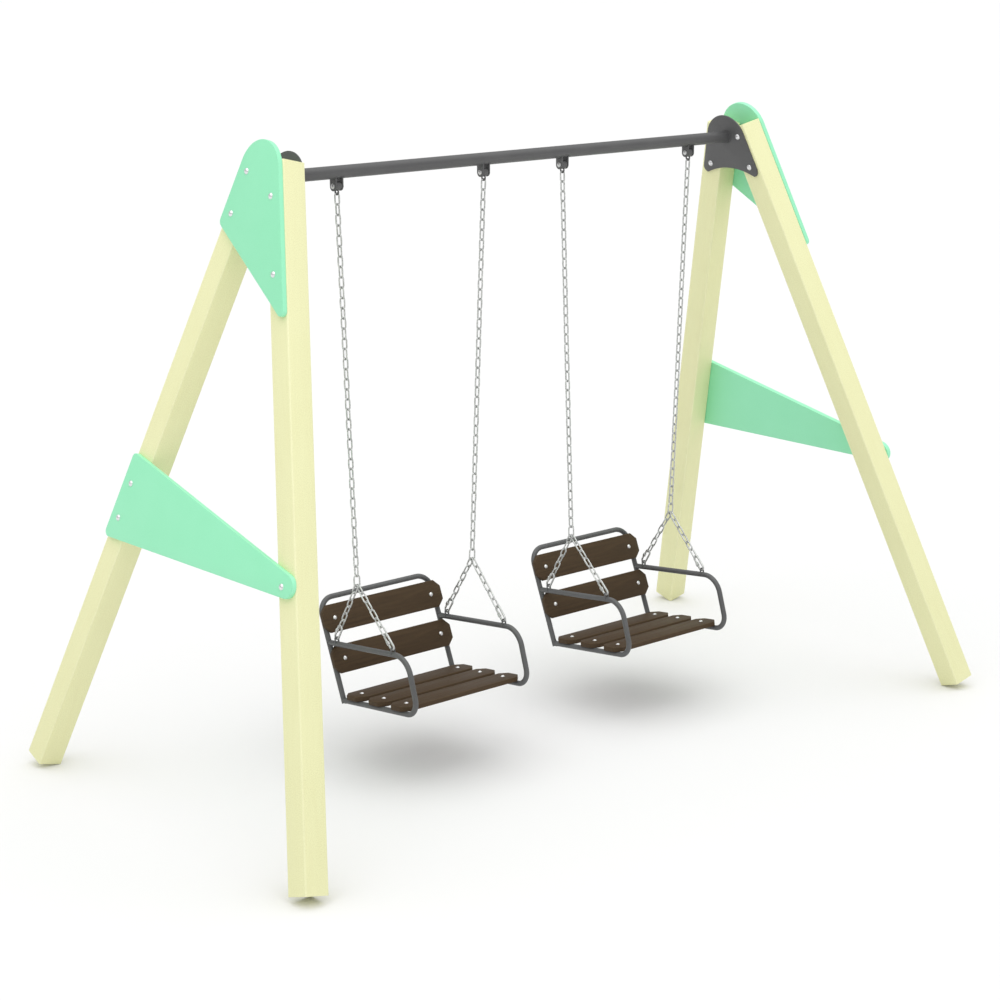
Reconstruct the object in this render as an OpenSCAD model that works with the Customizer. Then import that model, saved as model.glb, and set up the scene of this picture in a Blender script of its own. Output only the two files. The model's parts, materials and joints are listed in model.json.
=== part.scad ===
// Double A-frame swing set with two chain-hung chair seats.
// +Z is up, the crossbar runs along X, the seats face -Y, the ground is z = 0.
// The origin is on the ground, below the middle of the crossbar.

/* [A-frames] */
// Side of the square posts
post_w = 100; // [80:1:130]
// Length of each post
post_len = 2560; // [2200:10:3000]
// Radius of the long edges of the posts
post_edge_r = 6; // [2:1:12]
// Lean of each post away from upright, inside the plane of its A-frame
post_splay = 18.68; // [14:0.02:22]
// Lean of each A-frame inwards, over the crossbar
frame_lean = 13.3; // [6:0.1:18]
// Distance from the middle of the set to the middle of a post foot, along X
foot_x = 1735; // [1500:5:2200]
// Gap between the two posts of an A-frame at their tops
post_gap = 17.02; // [6:0.02:40]

/* [Panels] */
// Thickness of the coloured plastic panels
panel_t = 19; // [12:1:25]
// How far the gusset reaches down the back post from its top
gusset_short = 275; // [250:5:340]
// How far the gusset reaches down the front post from its top
gusset_long = 600; // [480:5:760]
// Drop of the centre of the gusset's round top, below the crossing of the post axes
gusset_arc_drop = 209.43; // [186:0.01:226]
// Radius of the gusset's back corner
gusset_corner_r = 24; // [10:1:30]
// Radius of the gusset's front tip
gusset_tip_r = 18; // [8:1:24]
// Screws on the back post, from its top
gusset_back_screws = [50, 216];
// Screws on the front post, from its top
gusset_front_screws = [128, 411];
// Lower end of the brace's wide edge, up the back post
brace_low = 980; // [800:5:1040]
// Upper end of the brace's wide edge, up the back post
brace_high = 1340; // [1300:5:1500]
// Middle of the brace's narrow round end, up the front post
brace_end = 1051; // [950:1:1150]
// Radius of the brace's narrow end
brace_end_r = 43; // [25:1:46]
// How far the middle of that end is in front of the post's centre line
brace_end_out = 11; // [0:1:15]
// How far the screw of that end is behind its middle
brace_screw_back = 19; // [0:1:24]
// Radius of the corners of the brace's wide end
brace_corner_r = 22; // [8:1:30]
// Screws of the brace on the back post, from its foot
brace_back_screws = [1084, 1231];

/* [Crossbar] */
// Outside diameter of the crossbar tube
bar_d = 48; // [42:1:60]
// Wall of the crossbar tube
bar_wall = 4; // [3:0.5:6]
// Drop of the crossbar, below the crossing of the post axes
bar_drop = 206.43; // [196:0.01:216]
// Thickness of the steel plates at the ends of the crossbar
flange_t = 6; // [4:1:10]
// Drop of the centre of the plate's round top, below the crossing of the post axes
flange_arc_drop = 222.43; // [214:0.01:231]
// Drop of the plate's lower corners, below the crossing of the post axes
flange_low_drop = 370.43; // [356:0.01:406]
// How far the plate stays inside the outer faces of the posts
flange_inset = 13; // [6:1:20]
// Rise of the arch along the plate's lower edge
flange_arch = 28; // [10:1:40]
// Radius of the arch along the plate's lower edge
flange_arch_r = 330; // [280:5:520]
// Radius of the plate's lower corners
flange_corner_r = 24; // [8:1:30]
// Screws of the plate, from the tops of the posts
flange_screws_at = [39, 175];

/* [Coach screws] */
// Diameter of the screw shank
screw_d = 10; // [8:1:12]
// Length of the shank in the post
screw_grip = 60; // [40:5:75]
// Diameter of the domed head
screw_head_d = 24; // [18:1:28]
// Height of the domed head
screw_head_h = 7; // [4:0.5:10]
// Gap around a shank in its hole
hole_gap = 0.25; // [0.1:0.05:0.5]

/* [Hangers] */
// Distance from the middle of the set to the middle of each seat
swing_x = 555; // [540:5:700]
// Distance from the middle of a seat to each of its hangers
hanger_x = 351; // [330:1:400]
// Drop of the pivot bolt below the middle of the crossbar
pivot_drop = 50.5; // [45:0.5:70]
// Thickness of the hanger lugs
lug_t = 5; // [4:0.5:8]
// Width of a lug, and twice the radius of its round end
lug_w = 36; // [30:1:44]
// Gap between the two lugs of a hanger
lug_gap = 26; // [24:1:36]
// Diameter of the pivot bolt
pivot_d = 10; // [8:1:12]
// Diameter of the domed head of the pivot bolt
pivot_head_d = 20; // [16:1:26]
// Outside diameter of the bearing housing
housing_d = 33; // [28:1:36]
// Drop of the chain eye's middle below the pivot bolt
eye_drop = 22; // [20:0.5:26]
// Radius of the chain eye, to the middle of its wire
eye_r = 9.5; // [9:0.5:11]
// Wire of the chain eye
eye_wire = 6; // [5:0.5:7]
// Outside diameter of the bush
bush_d = 16; // [14:1:18]
// Clearance around the pivot bolt in its bush
bush_fit = 0.05; // [0.02:0.01:0.1]
// Thickness of the washers beside the housing
washer_t = 1.5; // [1:0.1:2.5]
// Free play between the housing and each washer
side_play = 0.35; // [0.3:0.05:0.8]

/* [Chains] */
// Wire of the chain links
wire_d = 6; // [5:0.5:7]
// Pitch of the chain, which is the inside length of a link
link_pitch = 38.5; // [34:0.1:40]
// Inside width of a link
link_in_w = 13; // [12:0.5:16]
// Inside width of the last link, which holds both branches
split_in_w = 20; // [18:0.5:26]
// Radius of the lower corners of the last link, to the middle of its wire
split_corner_r = 6; // [4:0.5:8]
// Links between the hanger and the point where the chain splits
chain_links = 39; // [31:2:41]
// Links in each branch below the split
branch_links = 6; // [4:2:6]
// Slack between neighbouring links
link_play = 0.4; // [0.2:0.1:0.8]
// Clearance of the branches around the bar they rock on
rock_fit = 0.4; // [0.3:0.05:0.8]
// Distance from the middle of a seat to the chain at the split
split_x = 287; // [270:1:330]
// Wire of the quick links at the seat
quick_d = 8; // [6:0.5:9]
// Inside width of the quick links
quick_in_w = 14; // [13:0.5:18]

/* [Seat frame] */
// Outside diameter of the seat frame tubes
tube_d = 21.3; // [18:0.1:27]
// Wall of the seat frame tubes
tube_wall = 2.6; // [2:0.1:3.5]
// Distance from the middle of a seat to the centre line of its side tubes
side_x = 278; // [250:1:320]
// Tilt of the seat at rest, front edge up
seat_tilt = 7; // [0:0.5:10]
// Lean of the backrest from square to the seat
back_lean = 15.4; // [8:0.2:22]
// Length of the lower rail, to the corner it makes with the front leg
loop_len = 471; // [468:1:560]
// Length of the armrest, to the corner it makes with the front leg
arm_len = 430; // [400:5:520]
// Height of the armrest above the lower rail, between centre lines
arm_h = 225; // [190:1:260]
// Radius of the armrest's front bend
arm_bend_r = 85; // [50:5:100]
// Radius of the loop's lower bend
rail_bend_r = 55; // [40:5:55]
// Length of the backrest uprights, from the lower rail to the top tube
back_len = 407; // [404:1:500]
// Radius of the backrest's top bends
back_bend_r = 65; // [45:5:65]
// How far the uprights run on below the lower rail
upright_tail = 12; // [11:1:30]
// Drop of the lower rail's back end below the split of the chains
seat_hang = 490.98; // [470:0.01:510]
// Distance of the split ahead of the uprights, along the seat
split_ahead = 168.5; // [160:0.5:185]
// Wire of the chain staples on the armrests
staple_d = 6; // [5:0.5:7]
// Inside width of the staples
staple_in_w = 11; // [10:0.5:14]
// Height of a staple's top bar above the armrest tube
staple_h = 16; // [14:1:22]
// Places of the front and back staples, along the seat
staple_at = [346, -9];

/* [Slats] */
// Length of the slats
slat_len = 594; // [540:2:660]
// Width of the slats
slat_w = 111; // [90:1:114]
// Thickness of the slats
slat_t = 19; // [14:1:24]
// Cut across the corners of the slats
slat_cut = 28; // [10:1:34]
// Rounding of the slats' outline
slat_r = 4; // [3:1:12]
// Spacing of the seat slats
seat_pitch = 140; // [130:1:150]
// Middle of the back seat slat, ahead of the uprights
seat_first = 74.6; // [70:0.2:78]
// Spacing of the backrest slats
back_pitch = 163; // [155:1:168]
// Middle of the lower backrest slat, up the uprights
back_first = 158.7; // [150:0.1:164]
// Distance of the slat bolts from the middle of the seat
slat_bolt_x = 242.5; // [225:0.5:250]
// Diameter of the slat bolts
slat_bolt_d = 8; // [6:1:10]
// Diameter of the domed heads of the slat bolts
slat_head_d = 17; // [14:1:20]
// Thickness of the tabs below the slats
tab_t = 5; // [3:0.5:6]
// Width of the tabs
tab_w = 36; // [24:1:40]
// How far a tab reaches inwards past its bolt
tab_in = 14; // [11:1:20]

/* [Hidden] */
$fn = 64;

// Colours of the finishes
post_colour = [0.93, 0.92, 0.72];
panel_colour = [0.58, 0.91, 0.73];
steel_colour = [0.33, 0.33, 0.33];
zinc_colour = [0.75, 0.76, 0.76];
slat_colour = [0.27, 0.21, 0.15];
bush_colour = [0.75, 0.6, 0.35];
nylon_colour = [0.9, 0.9, 0.88];

// A-frame plane: local X is across the frame, local Y along the seats' depth, local Z up the plane.
foot_z = post_w / 2 * sin(post_splay);
// Distance from the middle of the set to the middle of a post foot, along Y
foot_y = post_gap / 2 + post_w / 2 * cos(post_splay) + post_len * sin(post_splay);
// Drop of a post's lowest corner below the middle of its foot
lean_part = sin(frame_lean);
splay_part = sin(post_splay) * cos(frame_lean);
foot_drop = (post_w / 2 - post_edge_r) * (lean_part + splay_part)
  + post_edge_r * sqrt(lean_part * lean_part + splay_part * splay_part);
ground_lift = foot_drop - foot_z * cos(frame_lean);
// Height at which the two post axes of a frame would cross
apex_z = foot_z + foot_y / tan(post_splay);
gusset_arc_z = apex_z - gusset_arc_drop;
flange_arc_z = apex_z - flange_arc_drop;
flange_low_z = apex_z - flange_low_drop;
// The panels and plates sit on the outer and inner faces of the posts.
face_x = post_w / 2;

// Crossbar height, measured where it meets the end plates
bar_z = ground_lift - (face_x + flange_t) * sin(frame_lean) + (apex_z - bar_drop) * cos(frame_lean);

// Pivot and chain levels, in the vertical plane y = 0
pivot_z = bar_z - pivot_drop;
chain_top = eye_drop + eye_r - eye_wire / 2;
link_in = link_pitch + link_play;
chain_run = chain_links * link_pitch + link_play / 2 + wire_d / 2;
chain_lean = asin((hanger_x - split_x) / chain_run);
split_z = pivot_z - chain_top - chain_run * cos(chain_lean);
seat_rise = split_z - seat_hang;
// Each branch hangs a little to one side of the middle of the last link.
branch_shift = wire_d / 2 + 0.25;

// Seat frame: local X across, local Y backwards, local Z up, from the back end of the lower rails
tube_r = tube_d / 2;
seat_y = split_ahead * cos(seat_tilt)
  - (split_z - seat_rise - split_ahead * sin(seat_tilt)) * tan(seat_tilt);
slat_top = tube_r + slat_t;
staple_n = arm_h + tube_r + staple_h;
seat_slat_at = [for (i = [0:2]) seat_first + i * seat_pitch];
back_slat_at = [for (i = [0:1]) back_first + i * back_pitch];
// Length left between a weld and the tangent line of two equal tubes
weld_gap = 1;

// Sizes that follow the bolts and the gap between the lugs
housing_len = lug_gap - 2 * washer_t - 2 * side_play;
pivot_head_h = pivot_head_d * 0.3;
pivot_nut_af = pivot_d * 1.6;
pivot_nut_h = pivot_d * 0.8;
pivot_reach = lug_gap / 2 + lug_t;
slat_head_h = slat_head_d * 0.28;
slat_nut_af = slat_bolt_d * 1.6;
slat_nut_h = slat_bolt_d * 0.8;
tab_low = tube_r - tab_t;

// ---------- outlines ----------

// Unit vector of an angle
function unit(a) = [cos(a), sin(a)];

// Direction angle from one point to another
function aim(a, b) = atan2(b[1] - a[1], b[0] - a[0]);

// Outer tangent points of two circles [x, y, r], met counter-clockwise
function tangent(a, b) =
  let (
    gap = norm([b[0] - a[0], b[1] - a[1]]),
    n = unit(aim(a, b) - 90 + asin((a[2] - b[2]) / gap))
  ) [[a[0] + a[2] * n[0], a[1] + a[2] * n[1]], [b[0] + b[2] * n[0], b[1] + b[2] * n[1]]];

// Circle of radius r in the corner p, between the directions a and b out of it
function corner(p, a, b, r) =
  let (half = (b > a ? b - a : b + 360 - a) / 2, far = r / sin(half), m = unit(a + half))
  [p[0] + far * m[0], p[1] + far * m[1], r];

// Convex plate outline around a counter-clockwise list of circles
module round_outline(circles) {
  count = len(circles);
  polygon([for (i = [0:count - 1]) each tangent(circles[i], circles[(i + 1) % count])]);
  for (c = circles)
    translate([c[0], c[1]]) circle(r = c[2]);
}

// Convex outline with rounded corners, from a counter-clockwise list of points
module round_corners(p, r) {
  count = len(p);
  round_outline([
    for (i = [0:count - 1])
      corner(p[i], aim(p[i], p[(i + 1) % count]), aim(p[i], p[(i + count - 1) % count]), r)
  ]);
}

// ---------- bent tube and wire ----------

// Turn at point i of a path, left turns positive
function path_turn(p, i) =
  let (t = aim(p[i], p[i + 1]) - aim(p[i - 1], p[i]))
  t > 180 ? t - 360 : t < -180 ? t + 360 : t;

// Length a bend takes from the straights on either side of it
function path_lead(p, i) =
  i == 0 || i == len(p) - 1 ? 0 : p[i][2] * tan(abs(path_turn(p, i)) / 2);

// Sweeps a round section along a path of [y, z, bend radius] points in the YZ plane.
module bend_path(p) {
  for (i = [0:len(p) - 2]) {
    a = aim(p[i], p[i + 1]);
    lead = path_lead(p, i);
    span = norm([p[i + 1][0] - p[i][0], p[i + 1][1] - p[i][1]]) - lead - path_lead(p, i + 1);
    translate([0, p[i][0] + lead * cos(a), p[i][1] + lead * sin(a)]) rotate([a - 90, 0, 0])
      linear_extrude(span) children();
  }
  for (i = [1:len(p) - 2]) {
    a = aim(p[i - 1], p[i]);
    turn = path_turn(p, i);
    way = sign(turn);
    lead = path_lead(p, i);
    r = p[i][2];
    translate([0, p[i][0] - lead * cos(a) - way * r * sin(a), p[i][1] - lead * sin(a) + way * r * cos(a)])
      rotate([90, 0, 90]) rotate([0, 0, way > 0 ? a - 90 : a + 90 - abs(turn)])
        rotate_extrude(angle = abs(turn)) translate([r, 0]) children();
  }
}

module tube_section() {
  difference() {
    circle(r = tube_r);
    circle(r = tube_r - tube_wall);
  }
}

// ---------- placing ----------

// Mirrors its children for the left side.
module on_side(side) {
  if (side < 0) mirror([1, 0, 0]) children();
  else children();
}

// Local frame of an A-frame; the left one mirrors the right one.
module on_frame(side) {
  on_side(side) translate([foot_x, 0, ground_lift]) rotate([0, -frame_lean, 0]) children();
}

// Local frame of a post, from the middle of its foot, with Z up the post; end is -1 front, 1 back
module on_post(end) {
  translate([0, end * foot_y, foot_z]) rotate([end * post_splay, 0, 0]) children();
}

// Point [y, z] of the frame plane at a height up a post, and out past its axis
function post_point(end, along, out) = [
  end * (foot_y - along * sin(post_splay) + out * cos(post_splay)),
  foot_z + along * cos(post_splay) + out * sin(post_splay)
];

// Stands a [y, z] outline up in the frame plane, from x = low towards +X.
module stand(low, thick) {
  translate([low, 0, 0]) rotate([90, 0, 90]) linear_extrude(thick) children();
}

// Local frame of a seat: X across, Y backwards, Z up from the back end of the lower rails
module on_seat(side) {
  translate([side * swing_x, seat_y, seat_rise]) rotate([-seat_tilt, 0, 0]) children();
}

// Local frame of a backrest, with Z up the uprights
module on_back(side) {
  on_seat(side) rotate([-back_lean, 0, 0]) children();
}

// Places its children at both hangers of a swing.
module at_hangers(side) {
  for (hand = [-1, 1])
    translate([side * swing_x + hand * hanger_x, 0, pivot_z]) children();
}

// ---------- fasteners ----------

// Domed head standing on z = 0, with a hexagon socket
module domed_head(d, h) {
  ball = (d * d / 4 + h * h) / (2 * h);
  difference() {
    intersection() {
      cylinder(d = d, h = h);
      translate([0, 0, h - ball]) sphere(r = ball);
    }
    translate([0, 0, h * 0.45]) cylinder(d = d * 0.3, h = h, $fn = 6);
  }
}

// Coach screw whose head stands on z = 0 and whose shank points down
module coach_screw(grip) {
  domed_head(screw_head_d, screw_head_h);
  translate([0, 0, screw_d / 2 - grip]) cylinder(d = screw_d, h = grip - screw_d / 2);
  translate([0, 0, -grip]) cylinder(d1 = screw_d / 5, d2 = screw_d, h = screw_d / 2);
}

// Hexagon nut standing on z = 0, with a bore for its bolt
module nut(af, h, d) {
  difference() {
    cylinder(d = af / cos(30), h = h, $fn = 6);
    translate([0, 0, -1]) cylinder(d = d + 2 * hole_gap, h = h + 2);
  }
}

// Hole for a coach screw, from z = 0 down
module screw_hole(depth) {
  translate([0, 0, -depth]) cylinder(d = screw_d + 2 * hole_gap, h = depth + 1);
}

// Spot on the outer face of a post, raised by lift and out past its centre line, with Z pointing outwards
module outer_spot(end, along, lift, out = 0) {
  on_post(end) translate([face_x + lift, end * out, along]) rotate([0, 90, 0]) children();
}

module at_gusset_screws(lift) {
  for (at = gusset_back_screws)
    outer_spot(1, post_len - at, lift) children();
  for (at = gusset_front_screws)
    outer_spot(-1, post_len - at, lift) children();
}

module at_brace_screws(lift) {
  for (at = brace_back_screws)
    outer_spot(1, at, lift) children();
  outer_spot(-1, brace_end, lift, brace_end_out - brace_screw_back) children();
}

// Spots on the inner faces of the posts, with Z pointing to the middle of the set
module at_flange_screws(lift) {
  for (end = [-1, 1], at = flange_screws_at)
    on_post(end) translate([-face_x - lift, 0, post_len - at]) rotate([0, -90, 0]) children();
}

// ---------- A-frames ----------

module post_section() {
  flat = post_w - 2 * post_edge_r;
  square([post_w, flat], center = true);
  square([flat, post_w], center = true);
  for (x = [-1, 1], y = [-1, 1])
    translate([x * flat / 2, y * flat / 2]) circle(r = post_edge_r);
}

module post(side, end) {
  color(post_colour) on_frame(side) difference() {
    on_post(end) linear_extrude(post_len) post_section();
    at_gusset_screws(0) screw_hole(screw_grip);
    at_brace_screws(0) screw_hole(screw_grip);
    at_flange_screws(0) screw_hole(screw_grip);
  }
}

module top_gusset(side) {
  arc_r = (apex_z - gusset_arc_z) * sin(post_splay) + post_w / 2;
  back = post_point(1, post_len - gusset_short, post_w / 2);
  front = post_point(-1, post_len - gusset_long, post_w / 2);
  color(panel_colour) on_frame(side) difference() {
    stand(face_x, panel_t) round_outline([
      [0, gusset_arc_z, arc_r],
      corner(front, aim(front, back), 90 - post_splay, gusset_tip_r),
      corner(back, 90 + post_splay, aim(back, front), gusset_corner_r)
    ]);
    at_gusset_screws(panel_t) screw_hole(panel_t + 1);
  }
}

module lower_brace(side) {
  low = post_point(1, brace_low, post_w / 2);
  high = post_point(1, brace_high, post_w / 2);
  tip = post_point(-1, brace_end, brace_end_out);
  color(panel_colour) on_frame(side) difference() {
    stand(face_x, panel_t) round_outline([
      [tip[0], tip[1], brace_end_r],
      corner(low, 90 + post_splay, aim(low, tip), brace_corner_r),
      corner(high, aim(high, tip), post_splay - 90, brace_corner_r)
    ]);
    at_brace_screws(panel_t) screw_hole(panel_t + 1);
  }
}

module flange_plate(side) {
  reach = post_w / 2 - flange_inset;
  arc_r = (apex_z - flange_arc_z) * sin(post_splay) + reach;
  half = (apex_z - flange_low_z) * tan(post_splay) + reach / cos(post_splay);
  color(steel_colour) on_frame(side) difference() {
    stand(-face_x - flange_t, flange_t) difference() {
      round_outline([
        [0, flange_arc_z, arc_r],
        corner([-half, flange_low_z], 0, 90 - post_splay, flange_corner_r),
        corner([half, flange_low_z], 90 + post_splay, 180, flange_corner_r)
      ]);
      translate([0, flange_low_z + flange_arch - flange_arch_r]) circle(r = flange_arch_r);
    }
    at_flange_screws(flange_t) screw_hole(flange_t + 1);
  }
}

// Solid as long as the crossbar and wider by grow
module bar_solid(r, grow) {
  translate([-foot_x - grow, 0, bar_z]) rotate([0, 90, 0]) cylinder(r = r, h = 2 * foot_x + 2 * grow);
}

// Tube cut square to the leaning end plates
module crossbar() {
  color(steel_colour) difference() {
    bar_solid(bar_d / 2, 0);
    bar_solid(bar_d / 2 - bar_wall, 1);
    for (side = [-1, 1])
      on_frame(side) translate([-face_x - flange_t, -post_w, 0]) cube([foot_x, 2 * post_w, 2 * post_len]);
  }
}

module gusset_screws() {
  color(zinc_colour)
    for (side = [-1, 1]) on_frame(side) at_gusset_screws(panel_t) coach_screw(panel_t + screw_grip - 2);
}

module brace_screws() {
  color(zinc_colour)
    for (side = [-1, 1]) on_frame(side) at_brace_screws(panel_t) coach_screw(panel_t + screw_grip - 2);
}

module flange_screws() {
  color(zinc_colour)
    for (side = [-1, 1]) on_frame(side) at_flange_screws(flange_t) coach_screw(flange_t + screw_grip - 2);
}

module post_left_front() post(-1, -1);
module post_left_back() post(-1, 1);
module post_right_front() post(1, -1);
module post_right_back() post(1, 1);
module top_gusset_left() top_gusset(-1);
module top_gusset_right() top_gusset(1);
module lower_brace_left() lower_brace(-1);
module lower_brace_right() lower_brace(1);
module flange_plate_left() flange_plate(-1);
module flange_plate_right() flange_plate(1);

// ---------- hangers ----------

// Plate of a hanger, square to the crossbar, with a round lower end about the pivot
module lug() {
  translate([-lug_t / 2, 0, 0]) rotate([90, 0, 90]) linear_extrude(lug_t) difference() {
    union() {
      circle(d = lug_w);
      translate([-lug_w / 2, 0]) square([lug_w, pivot_drop]);
    }
    circle(d = pivot_d + 2 * hole_gap);
  }
}

module hanger_lugs(side) {
  color(steel_colour) difference() {
    at_hangers(side)
      for (hand = [-1, 1]) translate([hand * (lug_gap + lug_t) / 2, 0, 0]) lug();
    bar_solid(bar_d / 2, 0);
  }
}

module hanger_lugs_left() hanger_lugs(-1);
module hanger_lugs_right() hanger_lugs(1);

// Bolts with their heads on the -X side
module pivot_bolts() {
  color(zinc_colour) for (side = [-1, 1]) at_hangers(side) {
    translate([-pivot_reach, 0, 0]) rotate([0, -90, 0]) domed_head(pivot_head_d, pivot_head_h);
    translate([-pivot_reach - 1, 0, 0]) rotate([0, 90, 0])
      cylinder(d = pivot_d, h = 2 * pivot_reach + pivot_nut_h + 3);
  }
}

module pivot_nuts() {
  color(zinc_colour) for (side = [-1, 1]) at_hangers(side)
    translate([pivot_reach, 0, 0]) rotate([0, 90, 0]) nut(pivot_nut_af, pivot_nut_h, pivot_d);
}

module pivot_washers() {
  color(nylon_colour) for (side = [-1, 1], hand = [0, 1]) at_hangers(side)
    translate([hand * (lug_gap - washer_t) - lug_gap / 2, 0, 0]) rotate([0, 90, 0]) difference() {
      cylinder(d = housing_d - 6, h = washer_t);
      translate([0, 0, -1]) cylinder(d = pivot_d + 2 * hole_gap, h = washer_t + 2);
    }
}

// Bearing housing with the chain eye below it
module housings(side) {
  color(steel_colour) at_hangers(side) difference() {
    union() {
      translate([-housing_len / 2, 0, 0]) rotate([0, 90, 0]) cylinder(d = housing_d, h = housing_len);
      translate([0, 0, -eye_drop]) rotate([0, 90, 0])
        rotate_extrude() translate([eye_r, 0]) circle(d = eye_wire);
    }
    translate([-housing_len / 2 - 1, 0, 0]) rotate([0, 90, 0]) cylinder(d = bush_d, h = housing_len + 2);
  }
}

module bushes(side) {
  color(bush_colour) at_hangers(side)
    translate([-housing_len / 2, 0, 0]) rotate([0, 90, 0]) difference() {
      cylinder(d = bush_d, h = housing_len);
      translate([0, 0, -1]) cylinder(d = pivot_d + 2 * bush_fit, h = housing_len + 2);
    }
}

// ---------- chains ----------

// Link in the XZ plane, hanging from z = 0, which is its inside top
module link(inside, in_w, wire) {
  bend = (in_w + wire) / 2;
  straight = inside - in_w;
  translate([0, 0, -inside / 2]) for (hand = [-1, 1]) {
    translate([hand * bend, 0, -straight / 2]) cylinder(d = wire, h = straight);
    translate([0, 0, hand * straight / 2]) rotate([90, 0, 0]) rotate([0, 0, hand > 0 ? 0 : 180])
      rotate_extrude(angle = 180) translate([bend, 0]) circle(d = wire);
  }
}

// Last link of a chain, with a straight lower bar for the branches
module split_link() {
  bend = (split_in_w + wire_d) / 2;
  top = -split_in_w / 2;
  low = split_corner_r - link_in - wire_d / 2;
  half_bar = bend - split_corner_r;
  translate([0, 0, top]) rotate([90, 0, 0])
    rotate_extrude(angle = 180) translate([bend, 0]) circle(d = wire_d);
  for (hand = [-1, 1]) {
    translate([hand * bend, 0, low]) cylinder(d = wire_d, h = top - low);
    translate([hand * half_bar, 0, low]) rotate([90, 0, 0]) rotate([0, 0, hand > 0 ? 270 : 180])
      rotate_extrude(angle = 90) translate([split_corner_r, 0]) circle(d = wire_d);
  }
  translate([-half_bar, 0, low - split_corner_r]) rotate([0, 90, 0]) cylinder(d = wire_d, h = 2 * half_bar);
}

// Run of links down from z = 0; across is 0 when the first link lies in XZ, 1 in YZ
module link_run(count, across) {
  for (i = [0:count - 1])
    translate([0, 0, link_play / 2 - i * link_pitch]) rotate([0, 0, (i + across) % 2 * 90])
      link(link_in, link_in_w, wire_d);
}

// Main chain from the eye to the split; hand is its side of the seat
module chain(side, hand) {
  color(zinc_colour)
    translate([side * swing_x + hand * hanger_x, 0, pivot_z - chain_top])
      rotate([0, hand * chain_lean, 0]) {
        link_run(chain_links - 1, 0);
        translate([0, 0, link_play / 2 - (chain_links - 1) * link_pitch]) split_link();
      }
}

// World [y, z] of the middle of a staple's top bar; end is 0 front, 1 back
function staple_point(end) = [
  seat_y - staple_at[end] * cos(seat_tilt) + staple_n * sin(seat_tilt),
  seat_rise + staple_at[end] * sin(seat_tilt) + staple_n * cos(seat_tilt)
];

// Sideways place of a branch in the last link
function branch_side(end) = end == 0 ? branch_shift : -branch_shift;

// Vector from the split down to a staple on the same side of the seat
function branch_vector(hand, end) =
  let (p = staple_point(end))
  [hand * (side_x - split_x) - branch_side(end), p[0], p[1] - split_z];

// Local frame of a branch, from the split, with -Z along the branch and X level
module on_branch(side, hand, end) {
  v = branch_vector(hand, end);
  translate([side * swing_x + hand * split_x + branch_side(end), 0, split_z])
    rotate([asin(v[1] / norm(v)), atan2(-v[0], -v[2]), 0]) children();
}

module branches(side, end) {
  color(zinc_colour) for (hand = [-1, 1]) on_branch(side, hand, end)
    translate([0, 0, wire_d / 2 + rock_fit]) link_run(branch_links, 1);
}

// Quick links between the branches and the staples, each with its screwed sleeve
module quick_links(side) {
  color(zinc_colour) for (hand = [-1, 1], end = [0, 1]) on_branch(side, hand, end) {
    top = wire_d / 2 + rock_fit + link_play / 2 - branch_links * link_pitch;
    inside = norm(branch_vector(hand, end)) + staple_d / 2 + link_play + top;
    translate([0, 0, top]) rotate([0, 0, 90]) {
      link(inside, quick_in_w, quick_d);
      translate([(quick_in_w + quick_d) / 2, 0, -inside / 2 - quick_d])
        cylinder(d = quick_d * 1.75, h = quick_d * 2, $fn = 6);
    }
  }
}

// ---------- seat frames ----------

// Solid that a side loop is cut to, as wide as an upright
module upright_solid() {
  rotate([-back_lean, 0, 0]) translate([0, 0, -2 * tube_d]) cylinder(r = tube_r, h = back_len);
}

// Side loop: armrest, front bend, front leg, lower bend and lower rail
module side_loop(side, hand) {
  color(steel_colour) on_seat(side) translate([hand * side_x, 0, 0]) difference() {
    bend_path([
      [arm_h * tan(back_lean) - weld_gap, arm_h, 0],
      [-arm_len, arm_h, arm_bend_r],
      [-loop_len, 0, rail_bend_r],
      [-weld_gap, 0, 0]
    ]) tube_section();
    upright_solid();
  }
}

module back_hoop(side) {
  color(steel_colour) on_back(side) rotate([0, 0, -90]) bend_path([
    [-side_x, -upright_tail, 0],
    [-side_x, back_len, back_bend_r],
    [side_x, back_len, back_bend_r],
    [side_x, -upright_tail, 0]
  ]) tube_section();
}

// Wire staples welded on the armrests
module staples(side) {
  half = (staple_in_w + staple_d) / 2;
  bend = staple_d * 0.75;
  color(steel_colour) on_seat(side)
    for (hand = [-1, 1], end = [0, 1])
      translate([hand * side_x, -staple_at[end], arm_h]) difference() {
        rotate([0, 0, -90]) bend_path([
          [-half, tube_r * 0.3, 0],
          [-half, tube_r + staple_h, bend],
          [half, tube_r + staple_h, bend],
          [half, tube_r * 0.3, 0]
        ]) circle(d = staple_d);
        rotate([90, 0, 0]) translate([0, 0, -staple_d]) cylinder(r = tube_r, h = 2 * staple_d);
      }
}

// Places children at the slat bolts, with Z out of the slats and X towards the tubes.
module at_slat_bolts(side) {
  for (hand = [-1, 1]) {
    for (at = seat_slat_at)
      on_seat(side) translate([hand * slat_bolt_x, -at, 0]) on_side(hand) children();
    for (at = back_slat_at)
      on_back(side) translate([hand * slat_bolt_x, 0, at]) rotate([90, 0, 0]) on_side(hand) children();
  }
}

// Flat tabs welded inside the tubes, each with a hole for a slat bolt
module slat_tabs(side) {
  reach = side_x - slat_bolt_x;
  color(steel_colour) at_slat_bolts(side) difference() {
    translate([-tab_in, -tab_w / 2, tab_low]) cube([tab_in + reach - tube_r * 0.6, tab_w, tab_t]);
    translate([reach, -tab_w, 0]) rotate([-90, 0, 0]) cylinder(r = tube_r, h = 2 * tab_w);
    translate([0, 0, tab_low - 1]) cylinder(d = slat_bolt_d + 2 * hole_gap, h = tab_t + 2);
  }
}

// ---------- slats ----------

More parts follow.
